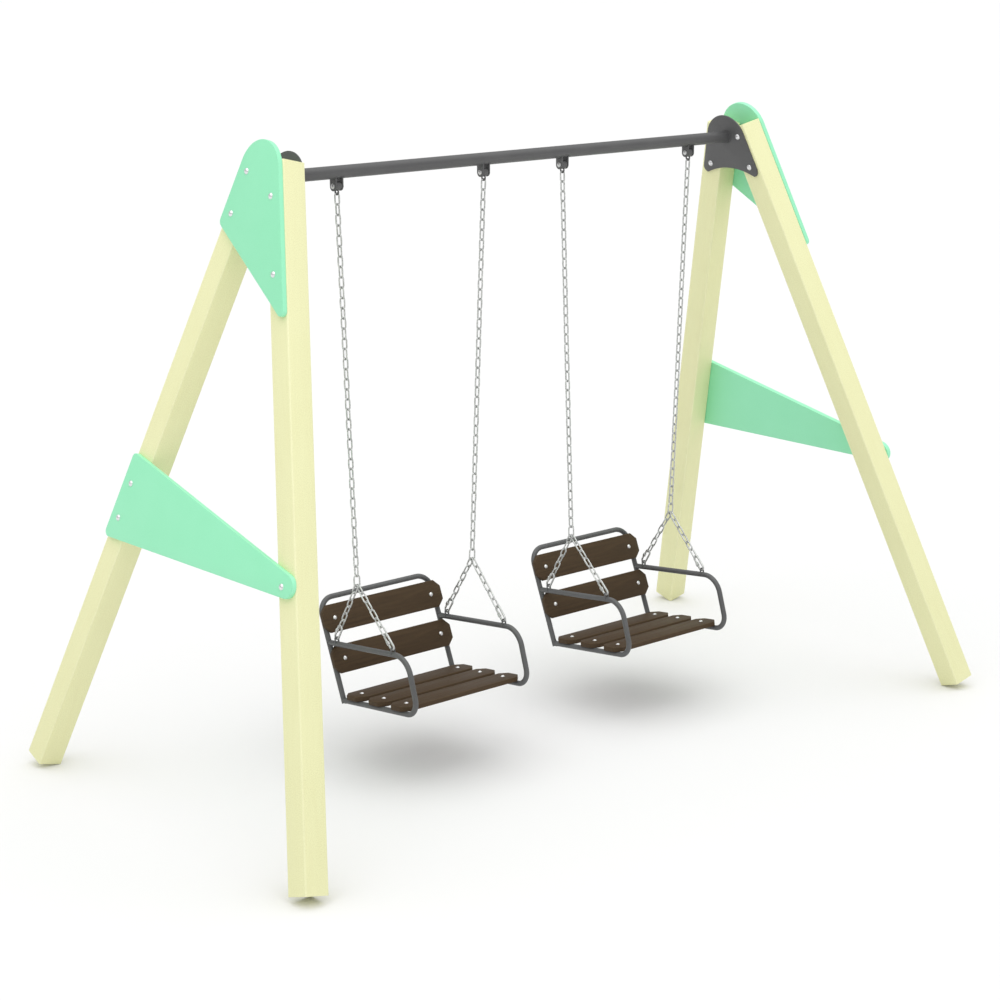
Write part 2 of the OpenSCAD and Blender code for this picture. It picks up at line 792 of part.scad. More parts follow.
// Slat lying on the plane z = tube_r
module slat() {
  x = slat_len / 2;
  y = slat_w / 2;
  color(slat_colour) difference() {
    translate([0, 0, tube_r]) linear_extrude(slat_t) round_corners([
      [x, slat_cut - y], [x, y - slat_cut], [x - slat_cut, y], [slat_cut - x, y],
      [-x, y - slat_cut], [-x, slat_cut - y], [slat_cut - x, -y], [x - slat_cut, -y]
    ], slat_r);
    for (hand = [-1, 1])
      translate([hand * slat_bolt_x, 0, tube_r - 1])
        cylinder(d = slat_bolt_d + 2 * hole_gap, h = slat_t + 2);
  }
}

module seat_slat(side, i) {
  on_seat(side) translate([0, -seat_slat_at[i], 0]) slat();
}

module back_slat(side, i) {
  on_back(side) translate([0, 0, back_slat_at[i]]) rotate([90, 0, 0]) slat();
}

module slat_bolts(side) {
  low = tab_low - slat_nut_h - 3;
  color(zinc_colour) at_slat_bolts(side) {
    translate([0, 0, slat_top]) domed_head(slat_head_d, slat_head_h);
    translate([0, 0, low]) cylinder(d = slat_bolt_d, h = slat_top + 1 - low);
  }
}

module slat_nuts(side) {
  color(zinc_colour) at_slat_bolts(side)
    translate([0, 0, tab_low - slat_nut_h]) nut(slat_nut_af, slat_nut_h, slat_bolt_d);
}

// ---------- swings ----------

module left_housings() housings(-1);
module left_bushes() bushes(-1);
module left_chain_outer() chain(-1, -1);
module left_chain_inner() chain(-1, 1);
module left_front_branches() branches(-1, 0);
module left_rear_branches() branches(-1, 1);
module left_quick_links() quick_links(-1);
module left_staples() staples(-1);
module left_loop_outer() side_loop(-1, -1);
module left_loop_inner() side_loop(-1, 1);
module left_back_hoop() back_hoop(-1);
module left_slat_tabs() slat_tabs(-1);
module left_seat_slat_rear() seat_slat(-1, 0);
module left_seat_slat_middle() seat_slat(-1, 1);
module left_seat_slat_front() seat_slat(-1, 2);
module left_back_slat_lower() back_slat(-1, 0);
module left_back_slat_upper() back_slat(-1, 1);
module left_slat_bolts() slat_bolts(-1);
module left_slat_nuts() slat_nuts(-1);

module right_housings() housings(1);
module right_bushes() bushes(1);
module right_chain_outer() chain(1, 1);
module right_chain_inner() chain(1, -1);
module right_front_branches() branches(1, 0);
module right_rear_branches() branches(1, 1);
module right_quick_links() quick_links(1);
module right_staples() staples(1);
module right_loop_outer() side_loop(1, 1);
module right_loop_inner() side_loop(1, -1);
module right_back_hoop() back_hoop(1);
module right_slat_tabs() slat_tabs(1);
module right_seat_slat_rear() seat_slat(1, 0);
module right_seat_slat_middle() seat_slat(1, 1);
module right_seat_slat_front() seat_slat(1, 2);
module right_back_slat_lower() back_slat(1, 0);
module right_back_slat_upper() back_slat(1, 1);
module right_slat_bolts() slat_bolts(1);
module right_slat_nuts() slat_nuts(1);

// ---------- parts ----------

post_left_front();
post_left_back();
post_right_front();
post_right_back();
top_gusset_left();
top_gusset_right();
lower_brace_left();
lower_brace_right();
flange_plate_left();
flange_plate_right();
crossbar();
gusset_screws();
brace_screws();
flange_screws();
hanger_lugs_left();
hanger_lugs_right();
pivot_bolts();
pivot_nuts();
pivot_washers();
left_housings();
left_bushes();
left_chain_outer();
left_chain_inner();
left_front_branches();
left_rear_branches();
left_quick_links();
left_staples();
left_loop_outer();
left_loop_inner();
left_back_hoop();
left_slat_tabs();
left_seat_slat_rear();
left_seat_slat_middle();
left_seat_slat_front();
left_back_slat_lower();
left_back_slat_upper();
left_slat_bolts();
left_slat_nuts();
right_housings();
right_bushes();
right_chain_inner();
right_chain_outer();
right_front_branches();
right_rear_branches();
right_quick_links();
right_staples();
right_loop_inner();
right_loop_outer();
right_back_hoop();
right_slat_tabs();
right_seat_slat_rear();
right_seat_slat_middle();
right_seat_slat_front();
right_back_slat_lower();
right_back_slat_upper();
right_slat_bolts();
right_slat_nuts();
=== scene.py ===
"""Looks for the double swing set: timber frames, green panels, steel hangers, chains and slatted seats."""

import json
import random
from math import asin, atan2, cos, hypot, pi, radians, sin, sqrt, tan

import bmesh
import bpy
from mathutils import Matrix, Vector


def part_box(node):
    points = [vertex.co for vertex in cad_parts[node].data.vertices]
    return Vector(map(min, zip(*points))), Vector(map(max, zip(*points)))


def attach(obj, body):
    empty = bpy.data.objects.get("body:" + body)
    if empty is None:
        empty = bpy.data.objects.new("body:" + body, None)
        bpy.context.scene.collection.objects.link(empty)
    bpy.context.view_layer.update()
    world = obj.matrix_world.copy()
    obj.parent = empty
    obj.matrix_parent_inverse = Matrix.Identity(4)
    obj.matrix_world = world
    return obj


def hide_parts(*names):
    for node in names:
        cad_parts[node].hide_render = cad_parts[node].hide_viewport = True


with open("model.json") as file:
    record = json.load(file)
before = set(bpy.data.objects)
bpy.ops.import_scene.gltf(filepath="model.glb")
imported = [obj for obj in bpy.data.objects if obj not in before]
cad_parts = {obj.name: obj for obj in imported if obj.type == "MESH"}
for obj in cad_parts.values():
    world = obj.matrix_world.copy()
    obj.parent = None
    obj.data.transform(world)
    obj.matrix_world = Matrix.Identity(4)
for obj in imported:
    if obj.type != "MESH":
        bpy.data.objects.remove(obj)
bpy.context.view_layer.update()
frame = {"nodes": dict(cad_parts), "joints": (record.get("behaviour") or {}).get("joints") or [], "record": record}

MM = 0.001
random.seed(7)

# ---------------------------------------------------------------- sizes, in metres

POST_W = 100 * MM
POST_LEN = 2560 * MM
POST_EDGE = 6 * MM
POST_END_EDGE = 1.2 * MM
PANEL_T = 19 * MM
PANEL_EDGE = 2 * MM
GUSSET_ARC_Z = 2397 * MM
GUSSET_SHORT = 275 * MM
GUSSET_LONG = 600 * MM
GUSSET_TIP_R = 18 * MM
GUSSET_CORNER_R = 24 * MM
GUSSET_BACK_SCREWS = (50 * MM, 216 * MM)
GUSSET_FRONT_SCREWS = (128 * MM, 411 * MM)
BRACE_LOW = 980 * MM
BRACE_HIGH = 1340 * MM
BRACE_END = 1051 * MM
BRACE_END_R = 43 * MM
BRACE_END_OUT = 11 * MM
BRACE_END_SCREW = 19 * MM
BRACE_CORNER_R = 22 * MM
BRACE_BACK_SCREWS = (1084 * MM, 1231 * MM)
FLANGE_T = 6 * MM
FLANGE_EDGE = 1.2 * MM
FLANGE_INSET = 13 * MM
FLANGE_ARC_DROP = 222.43 * MM
FLANGE_LOW_DROP = 370.43 * MM
FLANGE_ARCH = 28 * MM
FLANGE_ARCH_R = 330 * MM
FLANGE_CORNER = 24 * MM
FLANGE_SCREWS = (39 * MM, 175 * MM)
SCREW_D = 10 * MM
SCREW_HEAD_D = 24 * MM
SCREW_HEAD_H = 7 * MM
SCREW_GRIP = 58 * MM

BAR_D = 48 * MM
HANGER_X = 351 * MM
LUG_T = 5 * MM
LUG_W = 36 * MM
LUG_GAP = 26 * MM
LUG_EDGE = 0.8 * MM
PIVOT_D = 10 * MM
PIVOT_HEAD_D = 20 * MM
HOUSING_D = 33 * MM
WASHER_T = 1.5 * MM
SIDE_PLAY = 0.35 * MM
HOUSING_L = LUG_GAP - 2 * WASHER_T - 2 * SIDE_PLAY
EYE_DROP = 22 * MM
EYE_R = 9.5 * MM
EYE_WIRE = 6 * MM

WIRE = 6 * MM
LINK_PITCH = 38.5 * MM
LINK_PLAY = 0.4 * MM
LINK_IN = LINK_PITCH + LINK_PLAY
LINK_IN_W = 13 * MM
SPLIT_IN_W = 20 * MM
SPLIT_CORNER = 6 * MM
CHAIN_LINKS = 39
BRANCH_LINKS = 6
ROCK_FIT = 0.4 * MM
BRANCH_GAP = 0.25 * MM
QUICK_WIRE = 8 * MM
QUICK_IN_W = 14 * MM

TUBE_R = 10.65 * MM
TUBE_WALL = 2.6 * MM
SIDE_X = 278 * MM
SEAT_TILT = radians(7)
BACK_LEAN = radians(15.4)
SEAT_RISE = 260 * MM
SPLIT_AHEAD = 168.5 * MM
LOOP_LEN = 471 * MM
ARM_LEN = 430 * MM
ARM_H = 225 * MM
ARM_BEND = 85 * MM
RAIL_BEND = 55 * MM
BACK_LEN = 407 * MM
BACK_BEND = 65 * MM
UPRIGHT_TAIL = 12 * MM
STAPLE_WIRE = 6 * MM
STAPLE_IN_W = 11 * MM
STAPLE_H = 16 * MM
STAPLE_AT = (346 * MM, -9 * MM)

SLAT_L = 594 * MM
SLAT_W = 111 * MM
SLAT_T = 19 * MM
SLAT_CUT = 28 * MM
SLAT_CORNER_R = 4 * MM
SLAT_EDGE = 2.2 * MM
SLAT_BOLT_X = 242.5 * MM
SLAT_BOLT_D = 8 * MM
SLAT_HEAD_D = 17 * MM
SEAT_SLATS = {"rear": 74.6 * MM, "middle": 214.6 * MM, "front": 354.6 * MM}
BACK_SLATS = {"lower": 158.7 * MM, "upper": 321.7 * MM}
TAB_T = 5 * MM

# ---------------------------------------------------------------- places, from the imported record

JOINTS = {j["name"]: Vector(j["pos_m"]) for j in frame["joints"]}
MOUNTS = {m["name"]: m for m in frame["record"]["mounts"]}
SIDES = {"left": -1, "right": 1}
ENDS = {"front": -1, "back": 1}


def shift(x, y, z):
    return Matrix.Translation((x, y, z))


def rotate(angle, axis):
    return Matrix.Rotation(angle, 4, axis)


def foot(side, end):
    """Middle of a post's foot, and the direction up the post."""
    m = MOUNTS[f"{side}_{end}_foot"]
    return Vector(m["pos_m"]), -Vector(m["axis"]).normalized()


_, FRONT_UP = foot("right", "front")
BACK_FOOT, BACK_UP = foot("right", "back")
SPLAY = FRONT_UP.angle(BACK_UP) / 2
FOOT_Y = BACK_FOOT.y
FOOT_Z = POST_W / 2 * sin(SPLAY)
APEX_Z = FOOT_Z + FOOT_Y / tan(SPLAY)


def frame_place(side):
    """Plane of an A-frame: x outwards, y to the back, z up the plane, from the ground line of the frame."""
    front, up_front = foot(side, "front")
    back, up_back = foot(side, "back")
    up = (up_front + up_back).normalized()
    out = Vector((0, 1, 0)).cross(up) * SIDES[side]
    start = (front + back) / 2 - up * FOOT_Z
    m = Matrix((out, Vector((0, 1, 0)), up)).transposed().to_4x4()
    m.translation = start
    return m


def post_place(side, end):
    """Middle of a post's foot, with z up the post and x outwards."""
    e = ENDS[end]
    return frame_place(side) @ shift(0, e * FOOT_Y, FOOT_Z) @ rotate(e * SPLAY, "X")


def post_point(end, along, out):
    """Point (y, z) of the frame plane at a height up a post and out past its axis."""
    return (
        end * (FOOT_Y - along * sin(SPLAY) + out * cos(SPLAY)),
        FOOT_Z + along * cos(SPLAY) + out * sin(SPLAY),
    )


def seat_place(side):
    """Back end of a seat's lower rails, with y backwards and z up from the seat."""
    split = JOINTS[f"{side}_seat_rock"]
    y = SPLIT_AHEAD * cos(SEAT_TILT) - (split.z - SEAT_RISE - SPLIT_AHEAD * sin(SEAT_TILT)) * tan(SEAT_TILT)
    return shift(split.x, y, SEAT_RISE) @ rotate(-SEAT_TILT, "X")


def back_place(side):
    """As seat_place, with z up the backrest."""
    return seat_place(side) @ rotate(-BACK_LEAN, "X")


# ---------------------------------------------------------------- node groups and materials


def group(name, inputs, outputs):
    """Empty shader group with named sockets, and its input and output nodes."""
    tree = bpy.data.node_groups.new(name, "ShaderNodeTree")
    for label, kind, value in inputs:
        socket = tree.interface.new_socket(label, in_out="INPUT", socket_type=kind)
        if value is not None:
            socket.default_value = value
    for label, kind in outputs:
        tree.interface.new_socket(label, in_out="OUTPUT", socket_type=kind)
    return tree, tree.nodes.new("NodeGroupInput"), tree.nodes.new("NodeGroupOutput")


def put(tree, kind, settings=None, **inputs):
    """New node with its settings and unlinked values; a value that is a socket is linked."""
    node = tree.nodes.new(kind)
    for key, value in (settings or {}).items():
        setattr(node, key, value)
    for key, value in inputs.items():
        numbered = key[0] == "i" and key[1:].isdigit()
        socket = node.inputs[int(key[1:]) if numbered else key.replace("_", " ")]
        if isinstance(value, bpy.types.NodeSocket):
            tree.links.new(value, socket)
        else:
            socket.default_value = value
    return node


def maths(tree, operation, *values, **settings):
    """New arithmetic node on one or two values."""
    inputs = {f"i{n}": value for n, value in enumerate(values)}
    return put(tree, "ShaderNodeMath", {"operation": operation, **settings}, **inputs)


def mottle_group():
    """Fine speckle and broad drift of a sprayed or glazed finish."""
    tree, given, made = group(
        "mottle",
        [
            ("Vector", "NodeSocketVector", None), ("Speckle Scale", "NodeSocketFloat", 300.0),
            ("Drift Scale", "NodeSocketFloat", 5.0),
        ],
        [("Speckle", "NodeSocketFloat"), ("Drift", "NodeSocketFloat")],
    )
    fine = put(
        tree, "ShaderNodeTexNoise", Vector=given.outputs["Vector"], Scale=given.outputs["Speckle Scale"],
        Detail=3.0, Roughness=0.6,
    )
    broad = put(
        tree, "ShaderNodeTexNoise", Vector=given.outputs["Vector"], Scale=given.outputs["Drift Scale"],
        Detail=2.0, Roughness=0.5,
    )
    tree.links.new(fine.outputs["Fac"], made.inputs["Speckle"])
    tree.links.new(broad.outputs["Fac"], made.inputs["Drift"])
    return tree


def grain_group():
    """Long timber grain along z of the vector, showing faintly through the finish."""
    tree, given, made = group(
        "timber grain",
        [
            ("Vector", "NodeSocketVector", None), ("Ring Scale", "NodeSocketFloat", 60.0),
            ("Wander", "NodeSocketFloat", 2.0),
        ],
        [("Grain", "NodeSocketFloat"), ("Pores", "NodeSocketFloat")],
    )
    stretch = put(tree, "ShaderNodeMapping", Vector=given.outputs["Vector"])
    stretch.inputs["Scale"].default_value = (1.0, 1.0, 0.06)
    rings = put(
        tree, "ShaderNodeTexNoise", Vector=stretch.outputs["Vector"], Scale=given.outputs["Ring Scale"],
        Detail=4.0, Roughness=0.55, Distortion=given.outputs["Wander"],
    )
    long = put(tree, "ShaderNodeMapping", Vector=given.outputs["Vector"])
    long.inputs["Scale"].default_value = (1.0, 1.0, 0.025)
    pores = put(
        tree, "ShaderNodeTexNoise", Vector=long.outputs["Vector"], Scale=900.0, Detail=2.0, Roughness=0.5
    )
    tree.links.new(rings.outputs["Fac"], made.inputs["Grain"])
    tree.links.new(pores.outputs["Fac"], made.inputs["Pores"])
    return tree


def edge_highlight_group():
    """Mask that rises towards the long edges of a square section centred on z of the vector; it places painted
    edge highlights.
    """
    tree, given, made = group(
        "painted edge highlight",
        [
            ("Vector", "NodeSocketVector", None), ("Half Width", "NodeSocketFloat", 0.05),
            ("Half Depth", "NodeSocketFloat", 0.05), ("Reach", "NodeSocketFloat", 0.008),
        ],
        [("Edge", "NodeSocketFloat")],
    )
    split = put(tree, "ShaderNodeSeparateXYZ", Vector=given.outputs["Vector"])
    near = []
    for axis, half in (("X", "Half Width"), ("Y", "Half Depth")):
        size = maths(tree, "ABSOLUTE", split.outputs[axis])
        gap = maths(tree, "SUBTRACT", given.outputs[half], size.outputs[0])
        part = maths(tree, "DIVIDE", gap.outputs[0], given.outputs["Reach"])
        near.append(part)
    far = maths(tree, "MAXIMUM", near[0].outputs[0], near[1].outputs[0])
    edge = maths(tree, "SUBTRACT", 1.0, far.outputs[0], use_clamp=True)
    tree.links.new(edge.outputs[0], made.inputs["Edge"])
    return tree


MOTTLE = mottle_group()
GRAIN = grain_group()
# The edge mask places painted highlights along the edges of the posts and slats.
EDGE_HIGHLIGHT = edge_highlight_group()


def finish(name, roughness=0.5, metallic=0.0, specular=0.5, coat=0.0, coat_roughness=0.2):
    """New material: its tree, its Principled BSDF and its Object coordinates."""
    mat = bpy.data.materials.new(name)
    mat.use_nodes = True
    tree = mat.node_tree
    shader = tree.nodes["Principled BSDF"]
    shader.inputs["Roughness"].default_value = roughness
    shader.inputs["Metallic"].default_value = metallic
    shader.inputs["Specular IOR Level"].default_value = specular
    shader.inputs["Coat Weight"].default_value = coat
    shader.inputs["Coat Roughness"].default_value = coat_roughness
    place = tree.nodes.new("ShaderNodeTexCoord").outputs["Object"]
    return mat, tree, shader, place


def shades(tree, factor, *stops):
    """Colour ramp over a factor; each stop is (position, (r, g, b))."""
    ramp = put(tree, "ShaderNodeValToRGB", Fac=factor)
    band = ramp.color_ramp
    while len(band.elements) < len(stops):
        band.elements.new(0.5)
    for element, (at, colour) in zip(band.elements, stops):
        element.position = at
        element.color = (*colour, 1.0)
    return ramp.outputs["Color"]


def blend_colour(tree, factor, a, b, how="MIX"):
    """Mix of two colours, each a colour or a socket."""
    node = put(tree, "ShaderNodeMix", {"data_type": "RGBA", "blend_type": how, "clamp_factor": True})
    for socket, value in ((node.inputs[0], factor), (node.inputs[6], a), (node.inputs[7], b)):
        if isinstance(value, bpy.types.NodeSocket):
            tree.links.new(value, socket)
        elif socket is node.inputs[0]:
            socket.default_value = value
        else:
            socket.default_value = (*value, 1.0)
    return node.outputs[2]


def span(tree, value, low, high, to_low, to_high):
    """Value mapped from one range to another, clamped."""
    node = put(tree, "ShaderNodeMapRange", Value=value)
    node.inputs["From Min"].default_value = low
    node.inputs["From Max"].default_value = high
    node.inputs["To Min"].default_value = to_low
    node.inputs["To Max"].default_value = to_high
    return node.outputs["Result"]


def add(tree, a, b):
    return maths(tree, "ADD", a, b).outputs[0]


def times(tree, a, b):
    return maths(tree, "MULTIPLY", a, b).outputs[0]


def relief(tree, shader, height, distance, strength=1.0):
    """Bump from a height, in metres."""
    bump = put(tree, "ShaderNodeBump", Height=height)
    bump.inputs["Strength"].default_value = strength
    bump.inputs["Distance"].default_value = distance
    tree.links.new(bump.outputs["Normal"], shader.inputs["Normal"])


def turned(tree, place, matrix):
    """Object coordinates brought into the frame of one piece, so that its pattern runs along it."""
    loc, rot, _ = matrix.decompose()
    node = put(tree, "ShaderNodeMapping", {"vector_type": "TEXTURE"}, Vector=place)
    node.inputs["Location"].default_value = loc
    node.inputs["Rotation"].default_value = rot.to_euler()
    return node.outputs["Vector"]


def post_glaze(side, end):
    """Pale yellow glaze on square timber with faint grain, and a painted highlight that lightens its rounded
    edges.
    """
    mat, tree, shader, place = finish(f"post_glaze_{side}_{end}", roughness=0.62, specular=0.35)
    matrix = post_place(side, end)
    if SIDES[side] < 0:
        matrix = matrix @ Matrix.Scale(-1, 4, (1, 0, 0))
    along = turned(tree, place, matrix)
    spots = put(tree, "ShaderNodeGroup", {"node_tree": MOTTLE}, Vector=along)
    spots.inputs["Speckle Scale"].default_value = 300.0
    spots.inputs["Drift Scale"].default_value = 4.0
    wood = put(tree, "ShaderNodeGroup", {"node_tree": GRAIN}, Vector=along)
    wood.inputs["Ring Scale"].default_value = 55.0
    highlight_mask = put(tree, "ShaderNodeGroup", {"node_tree": EDGE_HIGHLIGHT}, Vector=along)
    highlight_mask.inputs["Reach"].default_value = 0.007
    base = shades(
        tree, spots.outputs["Speckle"], (0.33, (0.73, 0.725, 0.40)), (0.5, (0.85, 0.85, 0.495)),
        (0.67, (0.92, 0.92, 0.57)),
    )
    grain = span(tree, wood.outputs["Grain"], 0.35, 0.7, 0.0, 0.22)
    base = blend_colour(tree, grain, base, (0.76, 0.73, 0.39))
    drift = span(tree, spots.outputs["Drift"], 0.35, 0.65, 0.0, 0.25)
    base = blend_colour(tree, drift, base, (0.88, 0.88, 0.54))
    # Painted highlight: the rounded edges are blended towards a lighter yellow.
    base = blend_colour(tree, times(tree, highlight_mask.outputs["Edge"], 0.45), base, (0.93, 0.92, 0.62))
    tree.links.new(base, shader.inputs["Base Color"])
    rough = span(tree, spots.outputs["Speckle"], 0.3, 0.7, 0.52, 0.7)
    tree.links.new(rough, shader.inputs["Roughness"])
    height = add(tree, times(tree, spots.outputs["Speckle"], 0.5), times(tree, wood.outputs["Pores"], 0.5))
    relief(tree, shader, height, 0.0006, 0.5)
    return mat


def panel_green(side):
    """Mint green sheet with a fine leathery face, and a painted highlight that tints its sawn rims brighter."""
    mat, tree, shader, place = finish(f"panel_green_{side}", roughness=0.42, specular=0.4)
    matrix = frame_place(side)
    if SIDES[side] < 0:
        matrix = matrix @ Matrix.Scale(-1, 4, (1, 0, 0))
    flat = turned(tree, place, matrix)
    spots = put(tree, "ShaderNodeGroup", {"node_tree": MOTTLE}, Vector=flat)
    spots.inputs["Speckle Scale"].default_value = 420.0
    spots.inputs["Drift Scale"].default_value = 6.0
    base = shades(tree, spots.outputs["Speckle"], (0.3, (0.29, 0.79, 0.485)), (0.7, (0.335, 0.885, 0.55)))
    drift = span(tree, spots.outputs["Drift"], 0.3, 0.7, 0.0, 0.3)
    base = blend_colour(tree, drift, base, (0.36, 0.88, 0.57))
    # Painted highlight: the sheet's rims, found by distance from the middle of its thickness, are tinted a
    # brighter green.
    depth = put(tree, "ShaderNodeSeparateXYZ", Vector=flat)
    off = maths(tree, "ABSOLUTE", depth.outputs["X"])
    middle = maths(tree, "SUBTRACT", off.outputs[0], POST_W / 2 + PANEL_T / 2)
    middle = maths(tree, "ABSOLUTE", middle.outputs[0])
    cut = span(
        tree, middle.outputs[0], PANEL_T / 2 - PANEL_EDGE * 0.7, PANEL_T / 2 - PANEL_EDGE * 1.2, 0.0, 0.75
    )
    base = blend_colour(tree, cut, base, (0.36, 0.91, 0.58))
    tree.links.new(base, shader.inputs["Base Color"])
    mill = put(tree, "ShaderNodeTexNoise", Vector=flat, Scale=110.0, Detail=2.0)
    rough = span(tree, spots.outputs["Speckle"], 0.3, 0.7, 0.36, 0.5)
    tree.links.new(rough, shader.inputs["Roughness"])
    height = add(tree, times(tree, spots.outputs["Speckle"], 0.6), times(tree, mill.outputs["Fac"], 0.4))
    relief(tree, shader, height, 0.0005, 0.45)
    return mat


def powder_coat(name, tone, rough):
    """Dark grey powder coat: orange peel, slight dust, lighter where it is rubbed."""
    mat, tree, shader, place = finish(name, roughness=rough, specular=0.5, metallic=0.0)
    spots = put(tree, "ShaderNodeGroup", {"node_tree": MOTTLE}, Vector=place)
    spots.inputs["Speckle Scale"].default_value = 700.0
    spots.inputs["Drift Scale"].default_value = 9.0
    darker = tuple(c * 0.85 for c in tone)
    lighter = tuple(c * 1.2 for c in tone)
    base = shades(tree, spots.outputs["Speckle"], (0.3, darker), (0.7, lighter))
    dust = span(tree, spots.outputs["Drift"], 0.45, 0.75, 0.0, 0.25)
    base = blend_colour(tree, dust, base, tuple(c * 1.5 + 0.01 for c in tone))
    tree.links.new(base, shader.inputs["Base Color"])
    tree.links.new(
        span(tree, spots.outputs["Drift"], 0.3, 0.7, rough - 0.06, rough + 0.1), shader.inputs["Roughness"]
    )
    relief(tree, shader, spots.outputs["Speckle"], 0.00025, 0.5)
    return mat


def zinc(name, tone, rough, spangle, contrast=0.1):
    """Zinc-coated steel with spangles, dull patches and darker pits."""
    mat, tree, shader, place = finish(name, roughness=rough, metallic=0.85, specular=0.5)
    cells = put(tree, "ShaderNodeTexVoronoi", {"feature": "F1"}, Vector=place, Scale=spangle)
    spots = put(tree, "ShaderNodeGroup", {"node_tree": MOTTLE}, Vector=place)
    spots.inputs["Speckle Scale"].default_value = 600.0
    spots.inputs["Drift Scale"].default_value = 30.0
    shine = put(tree, "ShaderNodeSeparateColor", Color=cells.outputs["Color"])
    base = shades(
        tree, shine.outputs[0], (0.0, tuple(c * (1 - contrast) for c in tone)),
        (1.0, tuple(min(1.0, c * (1 + contrast)) for c in tone)),
    )
    dull = span(tree, spots.outputs["Drift"], 0.5, 0.75, 0.0, 2.5 * contrast)
    base = blend_colour(tree, dull, base, tuple(c * 0.75 for c in tone))
    tree.links.new(base, shader.inputs["Base Color"])
    tree.links.new(
        span(tree, shine.outputs[1], 0.0, 1.0, rough - 0.3 * contrast, rough + contrast),
        shader.inputs["Roughness"],
    )
    relief(tree, shader, spots.outputs["Speckle"], 0.00015, 0.4)
    return mat


def slat_glaze(name, matrix):
    """Dark brown glaze on planed boards, with grain along the board and a painted highlight that makes its edges
    paler.
    """
    mat, tree, shader, place = finish(name, roughness=0.6, specular=0.22)
    along = turned(tree, place, matrix @ rotate(pi / 2, "Y"))
    wood = put(tree, "ShaderNodeGroup", {"node_tree": GRAIN}, Vector=along)
    wood.inputs["Ring Scale"].default_value = 70.0
    wood.inputs["Wander"].default_value = 1.2
    spots = put(tree, "ShaderNodeGroup", {"node_tree": MOTTLE}, Vector=along)
    spots.inputs["Speckle Scale"].default_value = 380.0
    highlight_mask = put(tree, "ShaderNodeGroup", {"node_tree": EDGE_HIGHLIGHT}, Vector=along)
    highlight_mask.inputs["Half Width"].default_value = SLAT_T / 2
    highlight_mask.inputs["Half Depth"].default_value = SLAT_W / 2
    highlight_mask.inputs["Reach"].default_value = 0.003
    base = shades(
        tree, wood.outputs["Grain"], (0.3, (0.047, 0.028, 0.013)), (0.52, (0.063, 0.038, 0.018)),
        (0.75, (0.078, 0.049, 0.025)),
    )
    speck = span(tree, spots.outputs["Speckle"], 0.35, 0.65, 0.0, 0.35)
    base = blend_colour(tree, speck, base, (0.074, 0.048, 0.026))
    # Painted highlight: the board edges are blended towards a paler brown.
    base = blend_colour(tree, times(tree, highlight_mask.outputs["Edge"], 0.5), base, (0.115, 0.078, 0.045))
    tree.links.new(base, shader.inputs["Base Color"])
    tree.links.new(span(tree, wood.outputs["Grain"], 0.3, 0.7, 0.5, 0.68), shader.inputs["Roughness"])
    height = add(tree, times(tree, wood.outputs["Pores"], 0.6), times(tree, wood.outputs["Grain"], 0.4))
    relief(tree, shader, height, 0.0006, 0.6)
    return mat


def plain_detail(name, tone, rough, metallic):
    """Small turned or moulded part with fine tool marks."""
    mat, tree, shader, place = finish(name, roughness=rough, metallic=metallic)
    spots = put(tree, "ShaderNodeGroup", {"node_tree": MOTTLE}, Vector=place)
    spots.inputs["Speckle Scale"].default_value = 900.0
    spots.inputs["Drift Scale"].default_value = 40.0
    base = shades(tree, spots.outputs["Drift"], (0.3, tuple(c * 0.85 for c in tone)), (0.7, tone))
    tree.links.new(base, shader.inputs["Base Color"])
    relief(tree, shader, spots.outputs["Speckle"], 0.0001, 0.4)
    return mat


STEEL_DARK = powder_coat("powder_coat_dark", (0.085, 0.085, 0.086), 0.45)
STEEL_SEAT = powder_coat("powder_coat_seat", (0.092, 0.093, 0.094), 0.42)
CHAIN_ZINC = zinc("chain_zinc", (0.58, 0.59, 0.58), 0.36, 160.0, 0.16)
SCREW_ZINC = zinc("screw_zinc", (0.80, 0.80, 0.81), 0.30, 400.0, 0.04)
PIVOT_ZINC = zinc("pivot_zinc", (0.60, 0.60, 0.60), 0.33, 400.0, 0.06)
BRONZE = plain_detail("bush_bronze", (0.55, 0.36, 0.16), 0.35, 0.9)
NYLON = plain_detail("washer_nylon", (0.78, 0.78, 0.74), 0.5, 0.0)

# ---------------------------------------------------------------- mesh helpers


def piece(name, bm, body, material, nodes=(), smooth=40):
    """Makes an object from a bmesh that is already in place, and hands it to its body."""
    bmesh.ops.remove_doubles(bm, verts=bm.verts, dist=0.01 * MM)
    bmesh.ops.recalc_face_normals(bm, faces=bm.faces)
    mesh = bpy.data.meshes.new(name)
    bm.to_mesh(mesh)
    bm.free()
    mesh.materials.append(material)
    obj = bpy.data.objects.new(name, mesh)
    bpy.context.scene.collection.objects.link(obj)
    mesh.shade_smooth()
    mesh.set_sharp_from_angle(angle=radians(smooth))
    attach(obj, body)
    if nodes:
        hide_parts(*nodes)
    return obj


def join_in(bm, other, matrix=None):
    """Adds another bmesh to bm, moved by a matrix, and frees it."""
    if matrix is not None:
        other.transform(matrix)
    mesh = bpy.data.meshes.new("part")
    other.to_mesh(mesh)
    other.free()
    bm.from_mesh(mesh)
    bpy.data.meshes.remove(mesh)


